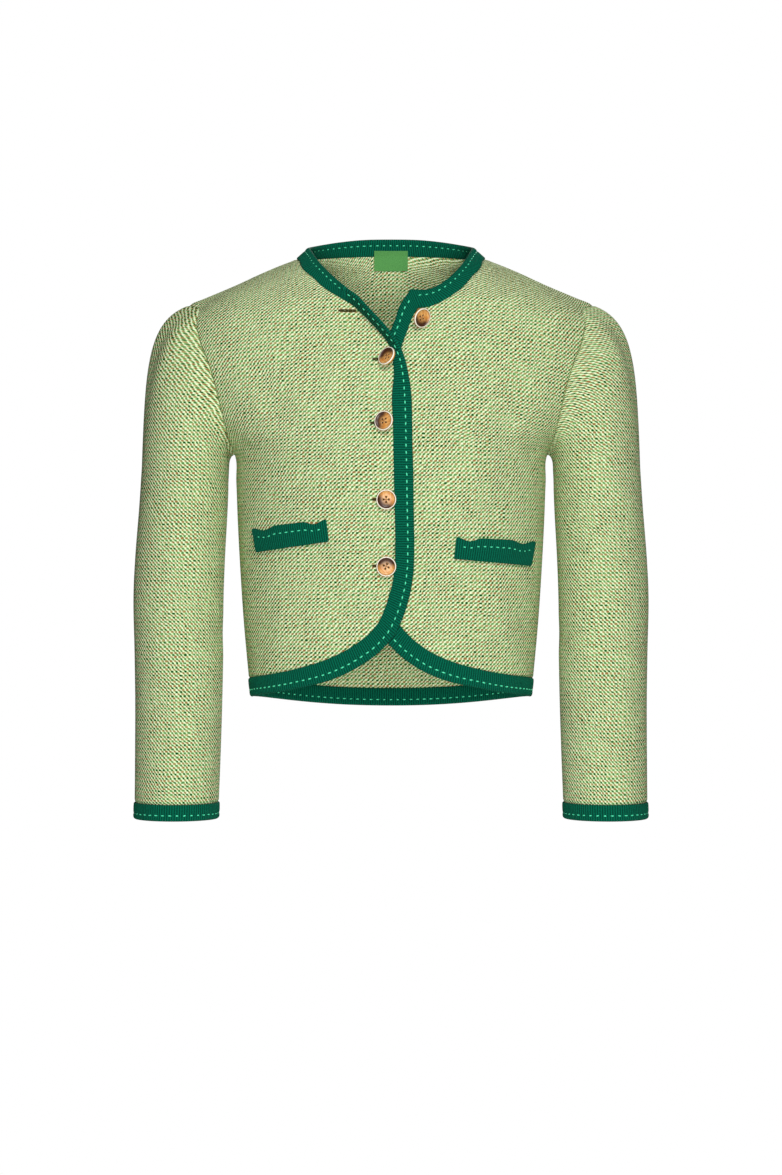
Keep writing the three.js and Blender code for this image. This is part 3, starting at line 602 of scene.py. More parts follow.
def outer_edge(facing):
    """The shoulder seam, armhole and side seam of one front or of half the back, as places."""

    def armhole(t):
        z = mix(SHOULDER_TIP_Z, UNDERARM_Z, t)
        return stack(turn_of(at_height(ARMHOLE, "x", z), z), z)

    places = [np.array([[1.0, 0.0]])]
    for steps, place_at in (
        (SHOULDER_STEPS, lambda t: stack(1, SHOULDER_TIP_Z * t)),
        (ARMHOLE_STEPS, armhole),
        (SIDE_STEPS, lambda t: stack(1, mix(UNDERARM_Z, HEM_SEAM_Z, t))),
    ):
        point_at = lambda t: body_point(*place_at(t).T, facing)
        places.append(place_at(even_steps(point_at, steps)[1:]))
    return np.vstack(places)


# ---- flat coordinates of the knit: across and down the cloth, in millimetres ----
FLAT_Z = np.linspace(14, -474, 245)  # from above the neck to below the hem, in steps of 2 mm
FLAT_TURN = np.linspace(0, 1, 241)
IN_LAST_CELL = 1.001


def flat_tables(facing):
    """For each height and turn, the lengths across from the middle and down from the underarm."""
    width = eased_width(FLAT_TURN[None], FLAT_Z[:, None])
    depth = at_height(BODY, "front" if facing < 0 else "back", FLAT_Z)
    x, y = (size * part for size, part in zip((width, depth[:, None]), section(FLAT_TURN)))
    across = np.cumsum(np.hypot(np.diff(x, axis=1, prepend=0), np.diff(y, axis=1, prepend=y[:, :1])), 1)
    step = np.sqrt(np.diff(FLAT_Z)[:, None] ** 2 + np.diff(x, axis=0) ** 2 + np.diff(y, axis=0) ** 2)
    down = np.vstack([np.zeros_like(FLAT_TURN), np.cumsum(step, 0)])
    underarm = np.argmin(abs(FLAT_Z - UNDERARM_Z))
    return across, down - down[underarm]


def look_up(values, rows, columns, row, column):
    """A value between the four nearest entries of a table with even rows and columns."""
    i = np.clip((row - rows[0]) / (rows[1] - rows[0]), 0, len(rows) - IN_LAST_CELL)
    j = np.clip((column - columns[0]) / (columns[1] - columns[0]), 0, len(columns) - IN_LAST_CELL)
    i0, j0 = i.astype(int), j.astype(int)
    upper = mix(values[i0, j0], values[i0, j0 + 1], j - j0)
    lower = mix(values[i0 + 1, j0], values[i0 + 1, j0 + 1], j - j0)
    return mix(upper, lower, i - i0)


FLAT = {facing: flat_tables(facing) for facing in (-1, 1)}


def flat_place(places, facing):
    """Where places of (turn, z) lie on the flat cloth."""
    turn, z = places[..., 0], places[..., 1]
    across, down = FLAT[facing]
    u = np.where(turn < 0, -1, 1) * look_up(across, FLAT_Z, FLAT_TURN, z, abs(turn))
    return stack(u, look_up(down, FLAT_Z, FLAT_TURN, z, abs(turn)))


# ---- walls ----
LEAST_LENGTH = 1e-9  # so that no direction is divided by nothing


def grid_normals(grid, closed, outward):
    """Unit directions across a grid of points, on the side that outward points to."""
    if closed:
        ring = np.concatenate([grid[:, -1:], grid, grid[:, :1]], 1)
        along = (ring[:, 2:] - ring[:, :-2]) / 2
    else:
        along = np.gradient(grid, axis=1)
    normals = np.cross(along, np.gradient(grid, axis=0))
    normals /= np.maximum(np.linalg.norm(normals, axis=-1, keepdims=True), LEAST_LENGTH)
    facing = (normals * (grid - outward(grid))).sum()
    return normals * np.sign(facing)


def spine(points):
    """The middle of the body at each point's height."""
    return points * (0, 0, 1)


def arm_spine(side):
    def middle(points):
        z = np.minimum(points[..., 2], SLEEVE["z"][0])
        return stack(side * at_height(SLEEVE, "x", z), at_height(SLEEVE, "y", z), points[..., 2])

    return middle


def share_normals(sheets):
    """Sheets that meet at a seam take one direction there."""
    meeting = {}
    for grid, normals in sheets:
        rows, columns = grid.shape[:2]
        edge = np.zeros((rows, columns), bool)
        edge[[0, -1]] = True
        edge[:, [0, -1]] = True
        for i, j in np.argwhere(edge):
            key = tuple(np.round(grid[i, j] * PLACES_PER_MM).astype(int))
            meeting.setdefault(key, []).append((normals, i, j))
    for places in meeting.values():
        shared = unit(sum(normals[i, j] for normals, i, j in places))
        for normals, i, j in places:
            normals[i, j] = shared


def add_object(name, data, place=(0, 0, 0)):
    item = bpy.data.objects.new(name, data)
    item.location = place
    bpy.context.collection.objects.link(item)
    return item


def mesh_object(name, points, faces, corner_uv=None):
    """An object at the origin from points in millimetres, with flat coordinates for each corner."""
    mesh = bpy.data.meshes.new(name)
    mesh.from_pydata((np.asarray(points) * MM).tolist(), [], faces)
    if corner_uv is not None:
        layer = mesh.uv_layers.new(name="flat")
        layer.data.foreach_set("uv", (np.asarray(corner_uv) * MM).astype(np.float32).ravel())
    mesh.shade_smooth()
    return add_object(name, mesh)


def quad_spots(rows, columns):
    """The four corners of each quad of a grid, as (row, column)."""
    i, j = (index.ravel() for index in np.meshgrid(range(rows), range(columns), indexing="ij"))
    return np.stack([(i, j), (i, j + 1), (i + 1, j + 1), (i + 1, j)]).transpose(2, 0, 1)


def wall_object(name, grid, normals, half_out, half_in, flat, closed=False):
    """A closed wall round a grid of middle points. flat has one more column than a closed grid."""
    rows, columns = grid.shape[:2]
    points = np.concatenate([
        (grid + normals * half_out[..., None]).reshape(-1, 3),
        (grid - normals * half_in[..., None]).reshape(-1, 3),
    ])
    quads = columns if closed else columns - 1
    inside = rows * columns
    number = lambda spots: spots[..., 0] * columns + spots[..., 1] % columns
    spots = quad_spots(rows - 1, quads)[:, [0, 3, 2, 1]]
    faces = [number(spots), number(spots)[:, ::-1] + inside]
    corners = [spots, spots[:, ::-1]]

    def rim(a, b):
        """Quads between the two faces along the edge from the spots a to the spots b."""
        faces.append(stack(number(b), number(a), number(a) + inside, number(b) + inside))
        corners.append(np.stack([b, a, a, b], 1))

    j = np.arange(quads)
    rim(stack(0, j + 1), stack(0, j))
    rim(stack(rows - 1, j), stack(rows - 1, j + 1))
    if not closed:
        i = np.arange(rows - 1)
        rim(stack(i, 0), stack(i + 1, 0))
        rim(stack(i + 1, columns - 1), stack(i, columns - 1))
    faces = np.concatenate(faces)
    corners = np.concatenate(corners).reshape(-1, 2)
    if signed_volume(points, faces) < 0:
        faces = faces[:, ::-1]
        corners = corners.reshape(-1, 4, 2)[:, ::-1].reshape(-1, 2)
    return mesh_object(name, points, faces.tolist(), flat[corners[:, 0], corners[:, 1]])


def signed_volume(points, quads):
    a, b, c, d = (points[quads[:, k]] for k in range(4))
    return (np.cross(a, b) * c).sum() / 6 + (np.cross(a, c) * d).sum() / 6


def rings_mesh(rings, looped=False):
    """Points and faces over rings of points: in a loop, or with a cap at each end."""
    count, sides = rings.shape[:2]
    spots = quad_spots(count - (not looped), sides)
    quads = (spots[..., 0] % count * sides + spots[..., 1] % sides).tolist()
    caps = [] if looped else [list(range(sides))[::-1], list(range((count - 1) * sides, count * sides))]
    return rings.reshape(-1, 3), caps + quads


def tube(points, radius, sides):
    """Points and faces of a thread through points, closed at both ends."""
    direction = unit(np.gradient(points, axis=0))
    side = unit(np.cross(direction, ACROSS_THREADS))
    up = np.cross(direction, side)
    angle = round_angles(sides)[:, None]
    ring = np.cos(angle) * side[:, None] + np.sin(angle) * up[:, None]
    return rings_mesh(points[:, None] + radius * ring)


def join(parts):
    """Several lists of points and faces as one."""
    points, faces = [], []
    for some_points, some_faces in parts:
        faces += [[index + len(points) for index in face] for face in some_faces]
        points += list(map(tuple, some_points))
    return np.array(points), faces


def face_flat(points, faces):
    """Flat coordinates for each corner: a point's own x and y."""
    return points[np.concatenate(faces)][:, :2]


# ---- the fronts ----
def make_front(side, edge, neck, cutaway_row, offset):
    """One front's curves and panel. side is 1 on the wearer's left and -1 on the right."""
    flip = np.array([side, 1, 1])
    surface = lambda places: body_point(side * places[..., 0], places[..., 1], -1, offset)
    seam_place = turn_curve(edge["seamX"], edge["seamZ"])
    free_place = turn_curve(edge["freeX"], edge["freeZ"])
    lift = SmoothCurve(stack(edge["lift"], 0, 0))
    neck_place = turn_curve(neck["seamX"], neck["seamZ"])
    tuck = 0 if side < 0 else offset(neck["freeX"], neck["freeZ"])
    neck_edge = SmoothCurve(stack(neck["freeX"], neck["freeY"] - tuck, neck["freeZ"]))

    seam = lambda t: surface(seam_place(t))
    neck_seam = lambda t: surface(neck_place(t))
    neck_free = lambda t: neck_edge(t) * flip

    def free(t):
        point = surface(free_place(t))
        point[:, 1] -= np.maximum(lift(t)[:, 0], 0)
        point[t == 0] = neck_free(0)[0]
        return point

    corner = cutaway_row / (len(edge["lift"]) - 1)
    down = even_steps(seam, SHOULDER_STEPS + ARMHOLE_STEPS + SIDE_STEPS, 0, corner)
    hem = even_steps(seam, ACROSS_FRONT, corner, 1)
    top = even_steps(neck_seam, ACROSS_FRONT)
    places = fill_between(neck_place(top), seam_place(hem), seam_place(down), outer_edge(-1))
    places[..., 0] *= side
    return {
        "places": places,
        "panel": body_point(places[..., 0], places[..., 1], -1, offset),
        "normals": body_normals(places, -1, offset),
        "seam": seam, "free": free, "neck_seam": neck_seam, "neck_free": neck_free,
    }


def front_creases(x, z):
    return fold_depth(FINE_FRONT_CREASES, x, z)


def under_offset(x, z):
    return front_creases(x, z) - UNDER_FRONT_TUCK * (1 - ease(LAP_FROM, LAP_TO, x))


def top_offset(x, z):
    return front_creases(x, z) + fold_depth(OPEN_NECK_FOLDS, x, z)


# ---- the back ----
def back_hem(turn, edge_z):
    return edge_z - BACK_HEM_DROP * np.cos(turn * math.pi / 2) ** 2


def back_neck(turn):
    return BACK_NECK_Z * np.maximum(np.cos(turn * math.pi / 2), 0) ** BACK_NECK_CURVE


def back_creases(x, z):
    return fold_depth(FINE_BACK_CREASES, x, z)


def make_back():
    surface = lambda turn, z: body_point(turn, z, 1, back_creases)
    hem_turns = even_steps(lambda t: surface(t, back_hem(t, HEM_SEAM_Z)), ACROSS_BACK, -1, 1)
    neck_turns = even_steps(lambda t: surface(t, back_neck(t)), ACROSS_BACK, -1, 1)
    left = outer_edge(1)
    places = fill_between(
        stack(neck_turns, back_neck(neck_turns)),
        stack(hem_turns, back_hem(hem_turns, HEM_SEAM_Z)),
        left * (-1, 1),
        left,
    )
    half = stack(*BACK_NECK_EDGE.values())
    ring = SmoothCurve(np.vstack([half[:0:-1] * (-1, 1, 1), half]))
    return {
        "places": places,
        "panel": surface(places[..., 0], places[..., 1]),
        "normals": body_normals(places, 1, back_creases),
        "hem_seam": lambda t: surface(t, back_hem(t, HEM_SEAM_Z)),
        "hem_free": lambda t: surface(t, back_hem(t, HEM_EDGE_Z)),
        "neck_seam": lambda t: surface(t, back_neck(t)),
        "neck_free": lambda t: ring((t + 1) / 2),
    }


# ---- a sleeve ----
def sleeve_point(turn, z):
    """The point of the left sleeve's tube at a turn and a height."""
    angle = turn * 2 * math.pi
    push = 0.0
    for rows in (SLEEVE_CREASES, FINE_SLEEVE_CREASES):
        for at_turn, at_z, height, reach, depth in zip(*rows.values()):
            near = abs(turn - at_turn)
            round_it = np.minimum(near, 1 - near)
            push = push + depth * (1 - ease(0, reach, round_it)) * (1 - ease(0, height, abs(z - at_z)))
    width = at_height(SLEEVE, "width", z) + push
    depth = at_height(SLEEVE, "depth", z) + push
    x = at_height(SLEEVE, "x", z) + width * np.cos(angle)
    y = at_height(SLEEVE, "y", z) - depth * np.sin(angle)
    return stack(x, y, z)


def make_sleeve(front_panel, back_panel):
    """The left sleeve's rings, from the armhole to the cuff seam, and its flat coordinates."""
    start = SHOULDER_STEPS
    end = start + ARMHOLE_STEPS
    loop = np.vstack([front_panel[start:end + 1, -1], back_panel[end - 1:start:-1, -1]])
    around = len(loop)
    turn = np.arange(around) / around
    top_z = SLEEVE["z"][0]
    height = (loop[:, 2] - UNDERARM_Z) / (SHOULDER_TIP_Z - UNDERARM_Z)

    def handle(way, y):
        return stack(way["out"][0] + way["out"][1] * height, y, way["up"][0] + way["up"][1] * height)

    tube_top = sleeve_point(turn, top_z)
    leave = loop + handle(CAP_LEAVE, -CAP_LEAVE["swell"] * np.sin(turn * 2 * math.pi))
    arrive = tube_top + handle(CAP_ARRIVE, 0)
    s = np.linspace(0, 1, CAP_STEPS + 1)[:, None, None]
    cap = (1 - s) ** 3 * loop + 3 * (1 - s) ** 2 * s * leave + 3 * (1 - s) * s**2 * arrive + s**3 * tube_top
    levels = np.linspace(top_z, CUFF_SEAM_Z, SLEEVE_STEPS + 1)[1:]
    tube = sleeve_point(turn[None], levels[:, None])
    rings = np.concatenate([cap, tube])
    lengths = np.cumsum(np.linalg.norm(np.diff(cap[::-1], axis=0), axis=-1), 0)[::-1]
    below = np.broadcast_to((top_z - levels)[:, None], tube.shape[:2])
    down = np.concatenate([-lengths, np.zeros_like(lengths[:1]), below])
    across = np.arange(around + 1) / around * SLEEVE_CELLS * CELL_WIDTH
    return rings, stack(across, np.hstack([down, down[:, :1]]))


# ---- trims: folded, ribbed strips ----
RIB_PITCH = 2.5
RIB_STEPS = 6
RIB_DEPTH = 0.26
# Across a strip, from its seam to its folded edge: how thick it is and how strongly it is ribbed.
TRIM_SECTION = table("""
across half rib
-0.03 0.9 0
0.0 1.6 0.5
0.05 1.95 0.9
0.2 2.05 1
0.4 2.05 1
0.55 1.95 1
0.665 1.6 0.8
0.77 1.95 1
0.88 1.9 1
0.96 1.55 0.8
1.0 1.0 0.5
1.03 0.3 0
""")
STITCH_LINE = 0.665
STITCH = {"pitch": 7.3, "length": 3.9, "radius": 0.7, "stand": 0.26, "skip": 2.4}
STITCH_RINGS = table("""
along radius sink
-1 0.35 0.9
-0.85 0.8 0.45
-0.45 1 0.05
0.45 1 0.05
0.85 0.8 0.45
1 0.35 0.9
""")
STITCH_SIDES = 6
STITCH_SPREAD = (0.9, 1.12)  # how much shorter and longer the stitches are than that length
STITCH_LEAN = 0.04
STITCH_FLATNESS = 0.8
STITCH_TWIST = np.array([0.4, 0.4, 0, 0])  # how far each quad's first corners are behind its last
TANGENT_STEP = 0.5  # to either side, for the direction of a line
ACROSS_THREADS = (0.31, 0.27, 0.91)  # a direction that no thread runs in


def even_strip(seam, free):
    """A strip's seam line and free edge, cut into even steps of a part of a rib."""
    lengths = arc_lengths((seam + free) / 2)
    steps = round(lengths[-1] / RIB_PITCH) * RIB_STEPS
    goal = np.linspace(0, lengths[-1], steps + 1)
    return between(goal, lengths, seam), between(goal, lengths, free), goal


def trim_object(name, seam, free, outward, closed=False, thickness=1.0):
    """A ribbed strip between its seam line and its free edge, with what its stitches need."""
    seam, free, goal = even_strip(seam, free)
    across = TRIM_SECTION["across"]
    rib_along = np.arange(len(goal)) * RIB_PITCH / RIB_STEPS
    width = np.linalg.norm(free - seam, axis=1).mean()
    flat = stack(rib_along[:, None], across * width)
    strip = seam[:, None] + (free - seam)[:, None] * across[None, :, None]
    if closed:
        strip = strip[:-1]
    turned = strip.transpose(1, 0, 2)
    normals = grid_normals(turned, closed, outward)
    wave = np.cos(2 * math.pi * np.arange(turned.shape[1]) / RIB_STEPS)
    half = thickness * TRIM_SECTION["half"][:, None] + RIB_DEPTH * wave * TRIM_SECTION["rib"][:, None]
    band = wall_object(name, turned, normals, half, half, flat.transpose(1, 0, 2), closed)
    return band, {"grid": turned, "normals": normals, "goal": goal, "width": width, "thickness": thickness}


def stitch_object(name, band, faces=(1, -1), sunk=0.0):
    """A row of saddle stitches along a trim, pressed into it on each of its faces and drawn in by sunk."""
    along, radius, sink = STITCH_RINGS.values()
    across, pitch = TRIM_SECTION["across"], STITCH["pitch"]
    goal = band["goal"][:band["grid"].shape[1]]
    middle, direction = (
        np.array([between(STITCH_LINE, across, column) for column in values.transpose(1, 0, 2)])
        for values in (band["grid"], band["normals"])
    )
    stand = band["thickness"] * np.interp(STITCH_LINE, across, TRIM_SECTION["half"]) + STITCH["stand"]
    count = int((goal[-1] - 2 * STITCH["skip"]) // pitch)
    first = (goal[-1] - (count - 1) * pitch) / 2
    random = np.random.default_rng(len(goal))
    length = STITCH["length"] * random.uniform(*STITCH_SPREAD, count)
    angle = round_angles(STITCH_SIDES)[:, None]
    parts = []
    for face in faces:
        for n in range(count):
            place = first + n * pitch
            lean = random.normal(0, STITCH_LEAN)
            stops = place + along * length[n] / 2
            out = face * between(stops, goal, direction)
            ahead, behind = (between(place + step, goal, middle) for step in (TANGENT_STEP, -TANGENT_STEP))
            side = np.cross(out, unit(ahead - behind))
            centre = between(stops, goal, middle) + out * (stand - sunk - sink)[:, None]
            centre += side * (lean * along * length[n])[:, None]
            ring = np.cos(angle) * side[:, None] + STITCH_FLATNESS * np.sin(angle) * out[:, None]
            parts.append(rings_mesh(centre[:, None] + STITCH["radius"] * radius[:, None, None] * ring))
    spots = quad_spots(len(along) - 1, STITCH_SIDES)
    quads_flat = stack(along[spots[:, :1, 0] + 1] - STITCH_TWIST, spots[..., 1]).reshape(-1, 2)
    flat = np.concatenate([np.zeros((2 * STITCH_SIDES, 2)), quads_flat])
    return mesh_object(name, *join(parts), np.tile(flat, (len(parts), 1)))


# ---- materials ----
CELL_WIDTH = 4.5  # between two specks of a row
CELL_HEIGHT = 2.1  # between two rows
SLEEVE_CELLS = 68  # specks round a sleeve
RIM_START = 9.4  # along a button's section from the middle of its face
RIM_END = 11.1
PAINTED_SHADE_SIDE = 131  # the direction, in degrees, of the painted shade on a button's dish
LABEL_WARP = 0.5
LABEL_WEFT = 0.6


def srgb(red, green, blue):
    """A colour as the eye reads it, from 0 to 255, as linear light."""
    channels = [value / 255 for value in (red, green, blue)]
    return tuple(c / 12.92 if c < 0.04045 else ((c + 0.055) / 1.055) ** 2.4 for c in channels) + (1.0,)


class Value:
    """A socket of a material's nodes, to be worked with like a number."""

    def __init__(self, shader, socket):
        self.shader, self.socket = shader, socket


for method, operation in (("add", "ADD"), ("sub", "SUBTRACT"), ("mul", "MULTIPLY"), ("truediv", "DIVIDE")):
    work = lambda self, other, operation=operation: self.shader.math(operation, self, other)
    setattr(Value, f"__{method}__", work)


class Shader:
    """One material, and short names for the nodes that it is made of."""

    def __init__(self, name):
        self.material = bpy.data.materials.new(name)
        self.material.use_nodes = True
        self.tree = self.material.node_tree
        self.surface = self.tree.nodes["Principled BSDF"]

    def put(self, socket, value):
        if isinstance(value, Value):
            self.tree.links.new(value.socket, socket)
        else:
            socket.default_value = srgb(*value) if isinstance(value, tuple) else value

    def node(self, kind, inputs, output=0, **settings):
        """One output of a new node."""
        node = self.tree.nodes.new(f"ShaderNode{kind}")
        for key, value in settings.items():
            setattr(node, key, value)
        for key, value in inputs.items():
            self.put(node.inputs[key], value)
        return Value(self, node.outputs[output])

    def math(self, operation, *values):
        return self.node("Math", dict(enumerate(values)), operation=operation)

    def length(self, x, y):
        return self.math("SQRT", x * x + y * y)

    def wave(self, value, pitch, kind="SINE"):
        return self.math(kind, value * (2 * math.pi / pitch))

    def smooth(self, value, start, end, low=0.0, high=1.0):
        """low up to start, high from end on, and smooth between them."""
        inputs = dict(enumerate((value, start, end, low, high)))
        return self.node("MapRange", inputs, interpolation_type="SMOOTHSTEP")

    def blend(self, factor, a, b):
        return self.node("Mix", {0: factor, 6: a, 7: b}, 2, data_type="RGBA")

    def join(self, x, y, z=0.0):
        return self.node("CombineXYZ", {0: x, 1: y, 2: z})

    def flat(self):
        """The flat coordinates in millimetres, apart and joined."""
        uv = self.node("UVMap", {}, uv_map="flat")
        u, v = (self.node("SeparateXYZ", {0: uv}, axis) / MM for axis in (0, 1))
        return u, v, self.join(u, v)

    def noise(self, vector, scale, detail=2.0):
        return self.node("TexNoise", {"Vector": vector, "Scale": scale, "Detail": detail}, "Fac")

    def random(self, vector):
        return self.node("TexWhiteNoise", {"Vector": vector}, "Value", noise_dimensions="3D")

    def bump(self, height, distance):
        inputs = {"Height": height, "Distance": distance * MM, "Strength": 1.0}
        self.put(self.surface.inputs["Normal"], self.node("Bump", inputs))

    def finish(self, colour, roughness, **sockets):
        for key, value in {"Base_Color": colour, "Roughness": roughness, **sockets}.items():
            self.put(self.surface.inputs[key.replace("_", " ")], value)
        return self.material


def knit_material():
    """Two-tone knit: staggered rows of green and of brown specks on cream and pale green loops."""
    s = Shader("knit")
    u, v, place = s.flat()
    # The specks stray from even rows: slowly over the cloth, and each a little by itself.
    drift = s.noise(place, 0.022) - 0.5
    jitter = s.noise(place, 0.3, 1.0) - 0.5
    across = u / CELL_WIDTH + drift * 2.0 + jitter * 0.55
    down = v / CELL_HEIGHT + drift * 1.5 + jitter * 0.45
    row = s.math("FLOOR", down)
    odd = s.math("FLOORED_MODULO", row, 2.0)
    shifted = across + odd * 0.5
    dx, dy = (s.math("FRACT", value) - 0.5 for value in (shifted, down))
    # Some specks are fainter, each by chance and in soft patches.
    chance = s.random(s.join(s.math("FLOOR", shifted), row))
    patch = s.smooth(s.noise(place, 0.03), 0.35, 0.65)

    # A speck leans like one leg of a loop; the loop beside it is painted near-white, a painted highlight where it
    # catches the light.
    leaning = dx + dy * 0.3
    speck = s.smooth(s.length(leaning * 3.1, dy * 1.35), 0.4, 1.0, 1.0, 0.0)
    vigour = s.smooth(chance, 0.0, 1.0, 0.68, 1.15) * (patch * 0.3 + 0.78)
    light = s.smooth(s.math("ABSOLUTE", leaning), 0.26, 0.44)

    dull = s.blend(odd, (152, 213, 129), (200, 205, 142))
    # Painted highlight: the near-white colours of the lit loop beside each speck.
    painted_highlight = s.blend(odd, (234, 251, 204), (244, 251, 214))
    specks = s.blend(odd, (0, 76, 26), (156, 106, 62))
    colour = s.blend(speck * vigour, s.blend(light, dull, painted_highlight), specks)
    s.bump(light * 0.6 + s.math("SUBTRACT", 1.0, speck) + s.noise(place, 1.6) * 0.4, 0.45)
    return s.finish(colour, 0.95, Specular_IOR_Level=0.04)


def trim_material():
    """Dark green rib with a little wool: painted highlight on the ridges and painted shade between them."""
    s = Shader("trim")
    u, _, place = s.flat()
    # Painted highlight and painted shade: lighter on the ridges, darker between them, with wool noise over it.
    level = s.wave(u, RIB_PITCH, "COSINE") * 0.22 + s.noise(place, 0.9, 3.0) * 0.9
    colour = s.blend(s.smooth(level, 0.1, 0.85), (0, 54, 40), (2, 112, 84))
    s.bump(s.noise(place, 2.2, 3.0), 0.25)
    return s.finish(colour, 0.9, Sheen_Weight=0.02, Sheen_Roughness=0.5, Specular_IOR_Level=0.06)


def stitch_material():
    """Bright green thread with a light twist."""
    s = Shader("stitch")
    u, v, _ = s.flat()
    twist = s.wave(u * 3.0 + v, STITCH_SIDES)
    colour = s.blend(s.smooth(twist, -1.0, 1.0), (30, 200, 138), (84, 246, 190))
    return s.finish(colour, 0.55, Sheen_Weight=0.2)


def button_material():
    """Horn: a narrow near-white rim that is a painted highlight, an amber wall, and a tan dish with painted shade,
    dark brown on one side and towards the rim, over the horn's own darker streak.
    """
    s = Shader("button")
    u, v, place = s.flat()
    radius = s.length(u, v)
    grain = s.smooth(s.noise(s.join(u * 0.35, v), 0.45, 3.0), 0.3, 0.7)
    # Painted shade: the dish turns dark brown towards one side, more so away from its middle, as its hollow is shaded;
    # the horn's own streak is in it too.
    side = v * 0.75 - u * 0.66 + (s.noise(place, 0.16) - 0.5) * 5.0
    shade = s.smooth(side, -3.0, 4.0) * s.smooth(radius, 1.5, 7.0, 0.35, 1.0)
    dish = s.blend(shade, s.blend(grain, (208, 134, 58), (240, 188, 116)), (66, 34, 16))
    # Painted shade under the rim: the dish darkens towards its edge.
    dish = s.blend(s.smooth(radius, RIM_START - 1.6, RIM_START, 0.0, 0.55), dish, (74, 40, 18))
    # Painted highlight: the near-white ring along the rim's edge.
    front = s.blend(s.smooth(radius, RIM_START, RIM_START + 0.35), dish, (255, 246, 228))
    wall = s.blend(grain, (214, 138, 36), (240, 172, 70))
    colour = s.blend(s.smooth(radius, RIM_END, RIM_END + 0.4), front, wall)
    s.bump(s.noise(s.join(u * 0.3, v), 1.5), 0.04)
    return s.finish(colour, 0.42, Coat_Weight=0.12, Coat_Roughness=0.3)


def label_material():
    """Green woven tape."""
    s = Shader("label")
    u, v, _ = s.flat()
    weave = s.wave(u, LABEL_WARP) * s.wave(v, LABEL_WEFT)
    colour = s.blend(s.smooth(weave, -1.0, 1.0), (64, 138, 62), (98, 172, 88))
    s.bump(weave, 0.08)
    return s.finish(colour, 0.7, Sheen_Weight=0.1)


def thread_material(name, dark, light, scale=3.0, roughness=0.8, **sockets):
    """Sewing thread between two colours."""
    s = Shader(name)
    _, _, place = s.flat()
    return s.finish(s.blend(s.noise(place, scale), dark, light), roughness, **sockets)


MATERIALS = {
    "knit": knit_material(),
    "thread": thread_material("thread", (150, 98, 50), (204, 152, 92)),
    "seam": thread_material("seam", (20, 74, 30), (150, 160, 96)),
    # Near-black thread in the buttons' holes: painted shade in the holes.
    "hole": thread_material("hole", (20, 10, 5), (52, 30, 14)),
    "trim": trim_material(),
    # The binding thread is darkened and browned as painted shade in and round the slits, over the thread's own dark
    # green.
    "binding": thread_material("binding", (30, 42, 24), (92, 80, 44), 1.5, 0.9, Specular_IOR_Level=0.05),
    "stitch": stitch_material(),
    "button": button_material(),
    "label": label_material(),
}


def dress(item, material, *nodes, slot=None):
    """An object takes a material, rides on the garment and stands for solids."""
    item.data.materials.clear()
    item.data.materials.append(MATERIALS[material])
    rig.ride(item, "root")
    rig.slot(item, slot or material)
    if nodes:
        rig.replaces(item, *nodes)
    return item


def thread_object(name, parts, material, place=Matrix()):
    """Parts made of thread as one piece, moved to their place."""
    points, faces = join(parts)
    moved = [place @ Vector(point) for point in points]
    dress(mesh_object(name, moved, faces, face_flat(points, faces)), material, slot="stitch")


# ---- the knit panels and sleeves ----
SEAM_GROOVE = 0.85  # the part of the thickness that a seam's groove takes
GROOVE_START = (4, 30)  # how far from the shoulder's tip a groove starts and is as deep as it gets
SHOULDER_TIP = (211, 0, SHOULDER_TIP_Z)


def seam_dip(grid, closed):
    """Half the cloth's thickness, less at its sewn edges so that each seam lies in a soft groove."""
    from_tip = np.linalg.norm(abs(grid) * (1, 0, 1) - SHOULDER_TIP, axis=-1)
    groove = SEAM_GROOVE * ease(*GROOVE_START, from_tip)
    edge = np.zeros(grid.shape[:2])
    edge[[0, -1]] = 1
    if not closed:
        edge[:, [0, -1]] = 1
    return CLOTH / 2 * (1 - edge * groove)


left = make_front(1, UNDER_FRONT_EDGE, UNDER_NECK_EDGE, UNDER_CUTAWAY_ROW, under_offset)
right = make_front(-1, TOP_FRONT_EDGE, TOP_NECK_EDGE, TOP_CUTAWAY_ROW, top_offset)
back = make_back()
sleeve_rings, sleeve_flat = make_sleeve(left["panel"], back["panel"])
sleeve_normals = grid_normals(sleeve_rings, True, arm_spine(1))
SHEETS = {
    "front_left": (left["panel"], left["normals"], flat_place(left["places"], -1), False),
    "front_right": (right["panel"], right["normals"], flat_place(right["places"], -1), False),
    "back": (back["panel"], back["normals"], flat_place(back["places"], 1), False),
    "sleeve_left": (sleeve_rings, sleeve_normals, sleeve_flat, True),
    "sleeve_right": (sleeve_rings * (-1, 1, 1), sleeve_normals * (-1, 1, 1), sleeve_flat * (-1, 1), True),
}
share_normals([sheet[:2] for sheet in SHEETS.values()])
CLOTHS = {}
for node, (grid, normals, flat, closed) in SHEETS.items():
    half = seam_dip(grid, closed)
    item = wall_object(f"{node}_cloth", grid, normals, half, half, flat, closed)
    CLOTHS[node] = dress(item, "knit", node)

# ---- the trims and their stitches ----
DENSE = np.linspace(0, 1, ARC_STEPS + 1)
TURNS = np.linspace(-1, 1, ARC_STEPS + 1)


def neck_line(kind):
    """The neck's seam or free edge, from the left front round the back to the right front."""
    return np.vstack([left[kind](DENSE), back[kind](TURNS[::-1])[1:], right[kind](DENSE[::-1])[1:]])


def cuff_line(side, z):
    return sleeve_point(DENSE, z) * (side, 1, 1)


